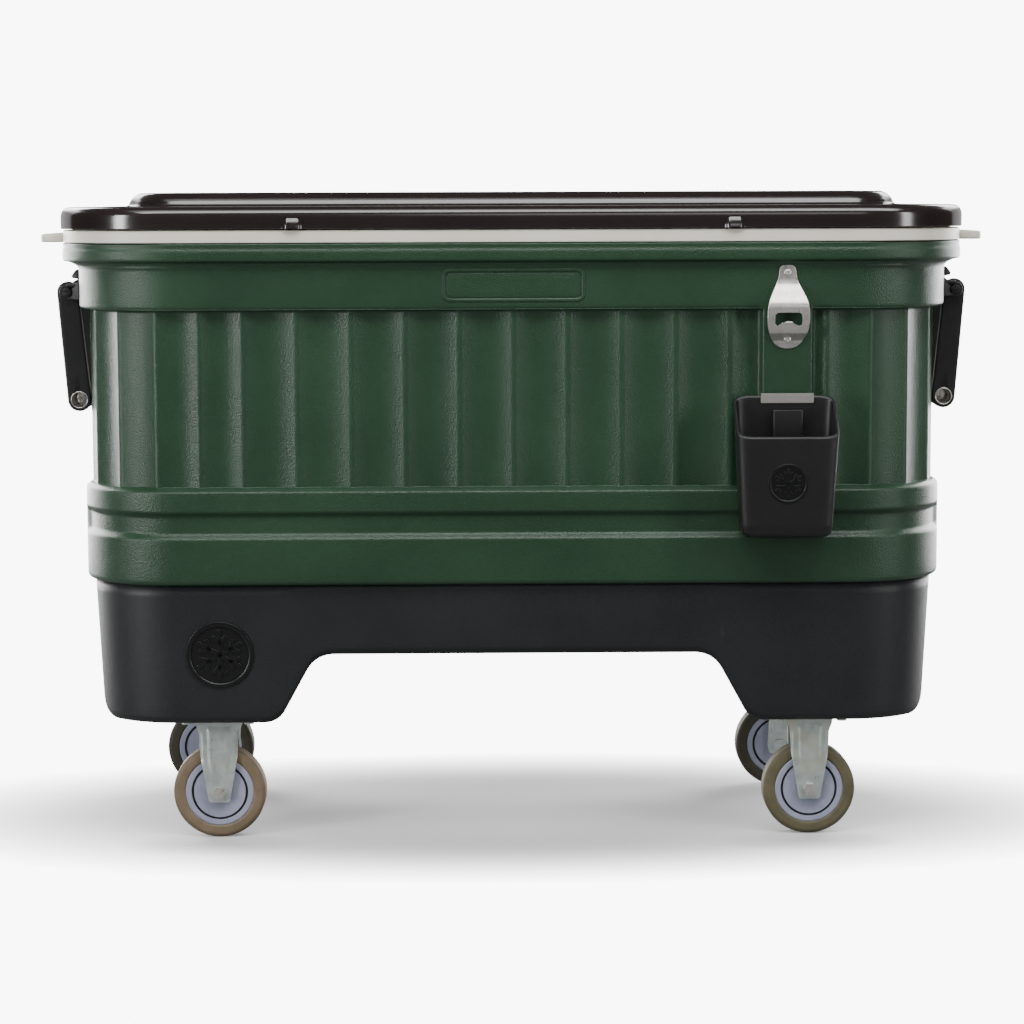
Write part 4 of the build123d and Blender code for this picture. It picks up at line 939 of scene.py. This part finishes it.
# a black band lining the floor of the core's ring groove: painted shade in the groove
def makeGrooveShade(place, x, y):
    parts = []
    for side in (-1, 1):
        band = np.array([(35.0, 11.9), (38.2, 11.9), (38.2, 12.7), (35.0, 12.7)]) * [1, side]
        parts.append(turned("band", band, x, y, wheel["r"], 120))
    finishPiece(joined("grooveShadeBand" + place, parts), "wheel_" + place, blackMoulding, "black_plastic")


for place, (x, y, tone) in wheelPlaces.items():
    makeTyre(place, x, y, tone)
    makeCore(place, x, y)
    makeGrooveShade(place, x, y)

fork = {"inner": 18.5, "thick": 3.0}


# a pressed leg: centre line and half width by height; its middle stands proud and its edges turn in near the top
def legShell(x0, y0, sign, centre, half, zTop, zLow=49.0):
    z = np.r_[zLow + 4 * (1 - np.cos(np.linspace(0, pi / 2, 6))), np.linspace(zLow + 5, zTop, 46)]
    u = np.linspace(-1, 1, 31)
    gridZ, gridU = np.meshgrid(z, u, indexing="ij")
    hw = np.interp(gridZ, *half)
    nose = np.clip((zLow + 4 - gridZ) / 4, 0, 1)
    hw = hw - 4 * (1 - np.sqrt(np.clip(1 - nose ** 2, 0, 1)))
    cx = x0 + np.interp(gridZ, *centre)
    upper = smoothStep(gridZ, 78, 108)
    proud = 2.0 * (1 - smoothStep(np.abs(gridU), 0.46, 0.62)) * upper * (1 - smoothStep(gridZ, 146, 154))
    turnIn = 3.2 * smoothStep(np.abs(gridU), 0.86, 1.0) * smoothStep(gridZ, 96,
                                                                     118) * (1 - smoothStep(gridZ, 140, 152))
    flare = 1.8 * smoothStep(gridZ, 147, 157)
    out = fork["inner"] + fork["thick"] + proud - turnIn + flare * 0.4
    outer = np.stack([cx + gridU * hw, y0 + sign * out, gridZ], -1)
    innerFace = np.stack([cx + gridU * (hw - 0.4), y0 + sign * (out - 2.6), gridZ], -1)
    loop = np.concatenate([outer, innerFace[:, ::-1]], 1)
    low, high = loop[:1].copy(), loop[-1:].copy()
    low[:] = loop[0].mean(0)
    high[:] = loop[-1].mean(0)
    return gridPiece("leg", np.concatenate([low, loop, high]), angle=55)


rigidHalf = ([49, 113, 143, 154, 163], [14.0, 25.2, 26.4, 30.0, 31.0])
swivelHalf = ([49, 113, 138, 150, 157], [14.0, 26.5, 32.0, 31.0, 30.0])
for side, tag in ((-1, "Left"), (1, "Right")):
    x0, y0 = side * 399.5, -160.0
    parts = [legShell(x0, y0, s, ([49, 163], [0, 0]), rigidHalf, 162.6) for s in (-1, 1)]
    parts.append(platePiece("plate", roundRect(105, 80, 8, 96, x0, y0), 3.0, 0.7, onLevel(164.5), rings=2))
    parts.append(platePiece("crown", roundRect(62, 44, 5, 96, x0, y0), 3.2, 1.0, onLevel(161.4), rings=2))
    finishPiece(joined("rigidFork" + tag, parts), "chest", zincPlate, "zinc", "front_fork_" + tag.lower())
    x0, y0 = side * 416.5, 162.0
    lean = ([49, 62.5, 150, 157], [-24.0, -24.0, -3.0, 0.0])
    parts = [legShell(x0, y0, s, lean, swivelHalf, 155.8) for s in (-1, 1)]
    dome = rounded([(6.1, 156.6), (27, 156.6, 2), (32.3, 155.0, 1.5), (32.5, 151.5, 2), (27, 152.2, 1),
                    (6.1, 152.8)], 5)
    a = np.linspace(0, 2 * pi, 96, endpoint=False)
    pts = np.stack([x0 + dome[:, :1] * np.cos(a), y0 + dome[:, :1] * np.sin(a), dome[:, 1:] + 0 * a], -1)
    parts.append(gridPiece("raceLow", pts, wrapRows=True))
    finishPiece(joined("swivelFork" + tag, parts), "swivel_" + tag.lower(), zincPlate, "zinc",
                "rear_fork_" + tag.lower())
    eased("rear_plate_" + tag.lower(), "chest", 0.8, zincPlate, "zinc")
    eased("rear_axle_" + tag.lower(), "swivel_" + tag.lower(), 0.7, zincPlate, "zinc")
eased("front_axles", "chest", 0.7, brushedSteel, "zinc")
eased("caster_bolts", "chest", 0.6, zincPlate, "zinc")
print("casters done")

# remaining hardware

for node, body, width, material, slot in (
    ("base_bolts", "chest", 0.6, zincPlate, "zinc"),
    ("bin_hanger", "chest", 0.5, brushedSteel, "stainless"),
    ("hanger_screws", "chest", 0.4, brushedSteel, "stainless"),
    ("hinge_leaves_lower", "chest", 0.5, brushedSteel, "stainless"),
    ("hinge_leaves_upper", "lid", 0.5, brushedSteel, "stainless"),
    ("hinge_pins", "chest", 0.4, brushedSteel, "stainless"),
    ("hinge_screws", "chest", 0.5, brushedSteel, "stainless"),
    ("drain_sleeve", "chest", 0.6, whiteLiner, "white_plastic"),
    ("drain_plug", "drain_plug", 0.8, blackMoulding, "black_plastic"),
    ("lid_seal", "lid", 1.5, sealRubber, "seal_rubber"),
):
    eased(node, body, width, material, slot)
nodes["insulation"].data.materials.clear()
nodes["insulation"].data.materials.append(foamFill)
print("hardware done")

# stage, light and camera

# halfX, halfY, fadeFrom and fadeTo shape a painted shadow on the floor round the chest; the last two entries place
# painted contact shadows under the front wheels
stage = {"radius": 5.2, "white": 9.0, "halfX": 0.54, "halfY": 0.25, "fadeFrom": 0.66, "fadeTo": 1.74, "room": 0.05,
         "bounce": srgb(120, 120, 120), "contactShadow": (0.085, 0.05), "contactShadowFront": 0.01}


# floor: a flat disc z = 0 on a polar grid; further out it melts into the room's own white, while round the chest's
# footprint the white glow is held back as a painted shadow over the floor's own lit shading
def makeFloor():
    r = np.r_[0.0, np.linspace(0.2, stage["radius"], 26)] * 1000
    a = np.linspace(0, 2 * pi, 97)[:-1]
    pts = np.stack([r[:, None] * np.cos(a), r[:, None] * np.sin(a), np.zeros((len(r), 96))], -1)
    obj = gridPiece("paperFloor", pts)
    mat = bpy.data.materials.new("paperFloor")
    mat.use_nodes = True
    tree = mat.node_tree
    coords = addNode(tree, "ShaderNodeTexCoord").outputs["Object"]
    bsdf = tree.nodes["Principled BSDF"]
    tone = rangeOf(tree, noiseOf(tree, coords, 3.0), 0.3, 0.7)
    seen = addNode(tree, "ShaderNodeLightPath").outputs["Is Camera Ray"]
    paper = mixOf(tree, tone, srgb(206, 206, 206), srgb(210, 210, 210))
    tree.links.new(mixOf(tree, seen, stage["bounce"], paper), bsdf.inputs["Base Color"])
    bsdf.inputs["Roughness"].default_value = 0.95
    bsdf.inputs["Specular IOR Level"].default_value = 0.0
    glow = addNode(tree, "ShaderNodeEmission", {"Color": (1, 1, 1, 1), "Strength": stage["white"]})
    # distance from the object's footprint, as an ellipse; inside it the glow is held back, a painted shadow
    scaled = addNode(tree, "ShaderNodeMapping", {"Vector": coords,
                                                 "Scale": (1 / stage["halfX"], 1 / stage["halfY"], 1)})
    away = addNode(tree, "ShaderNodeVectorMath", {0: scaled.outputs[0]}, operation="LENGTH").outputs["Value"]
    near = rangeOf(tree, away, stage["fadeFrom"], stage["fadeTo"])
    fade = mathOf(tree, "MULTIPLY_ADD", mathOf(tree, "POWER", near, 3.0), 0.995, 0.005)
    # painted contact shadows: darker patches where the two front wheels stand
    for place in ("front_left", "front_right"):
        wx, wy, _ = wheelPlaces[place]
        spot = (1 / stage["contactShadow"][0], 1 / stage["contactShadow"][1], 1)
        shift = (-wx * mm * spot[0], -(wy * mm - midY - stage["contactShadowFront"]) * spot[1], 0)
        local = addNode(tree, "ShaderNodeMapping", {"Vector": coords, "Scale": spot, "Location": shift})
        reach = addNode(tree, "ShaderNodeVectorMath", {0: local.outputs[0]}, operation="LENGTH").outputs["Value"]
        fade = mathOf(tree, "MULTIPLY", fade, rangeOf(tree, reach, 0.25, 1.5, 0.1, 1.0))
    share = mathOf(tree, "MULTIPLY", fade, seen)
    blend = addNode(tree, "ShaderNodeMixShader", {0: share, 1: bsdf.outputs[0], 2: glow.outputs[0]})
    tree.links.new(blend.outputs[0], tree.nodes["Material Output"].inputs["Surface"])
    obj.data.materials.append(mat)


makeFloor()


# soft lamps: size, place, aim and power
lamps = {
    "leftKey": ((0.6, 1.7), (-2.9, -2.2, 1.0), (-0.1, 0.0, 0.55), 64),
    "rightKey": ((0.5, 1.7), (2.9, -2.0, 1.0), (0.4, 0.0, 0.55), 27),
    "leftBack": ((2.4, 2.6), (-2.3, 2.3, 1.2), (-0.5, 0.0, 0.6), 300),
    "rightBack": ((2.2, 2.6), (2.4, 2.3, 1.2), (0.5, 0.0, 0.6), 250),
    "topBank": ((3.8, 1.0), (0.2, -1.6, 2.7), (0.0, -0.2, 0.6), 84),
    "crownBank": ((3.4, 0.8), (0.0, -0.85, 2.9), (0.0, -0.15, 0.86), 12),
    "frontFill": ((1.4, 0.9), (0.5, -4.9, 2.3), (0.0, 0.0, 0.4), 8),
}
for name, (size, place, aim, power) in lamps.items():
    light = bpy.data.lights.new(name, "AREA")
    light.shape, light.size, light.size_y = "RECTANGLE", size[0], size[1]
    light.energy = power
    obj = bpy.data.objects.new(name, light)
    bpy.context.scene.collection.objects.link(obj)
    obj.location = place
    obj.rotation_euler = (Vector(aim) - Vector(place)).to_track_quat("-Z", "Y").to_euler()

# the room: white where the camera looks at it, dim for everything that the object reflects
world = bpy.data.worlds.new("studio")
bpy.context.scene.world = world
world.use_nodes = True
tree = world.node_tree
seen = addNode(tree, "ShaderNodeLightPath").outputs["Is Camera Ray"]
strength = rangeOf(tree, seen, 0.0, 1.0, stage["room"], stage["white"])
tree.links.new(strength, tree.nodes["Background"].inputs["Strength"])
tree.nodes["Background"].inputs["Color"].default_value = (1, 1, 1, 1)

view = {"place": (-0.055, -4.0, 0.858), "pitch": 6.2105, "yaw": 0.7878, "roll": 0.2, "lens": 100.8}
camData = bpy.data.cameras.new("studioCamera")
camData.lens, camData.sensor_width = view["lens"], 36.0
camData.clip_end = 60
cam = bpy.data.objects.new("studioCamera", camData)
bpy.context.scene.collection.objects.link(cam)
turn = Matrix.Rotation(radians(-view["yaw"]), 4, "Z") @ Matrix.Rotation(radians(90 - view["pitch"]), 4, "X")
stand = Matrix.Translation(Vector(view["place"]) + Vector((0, midY, 0)))
cam.matrix_world = stand @ turn @ Matrix.Rotation(radians(-view["roll"]), 4, "Z")
bpy.context.scene.camera = cam
print("stage done")
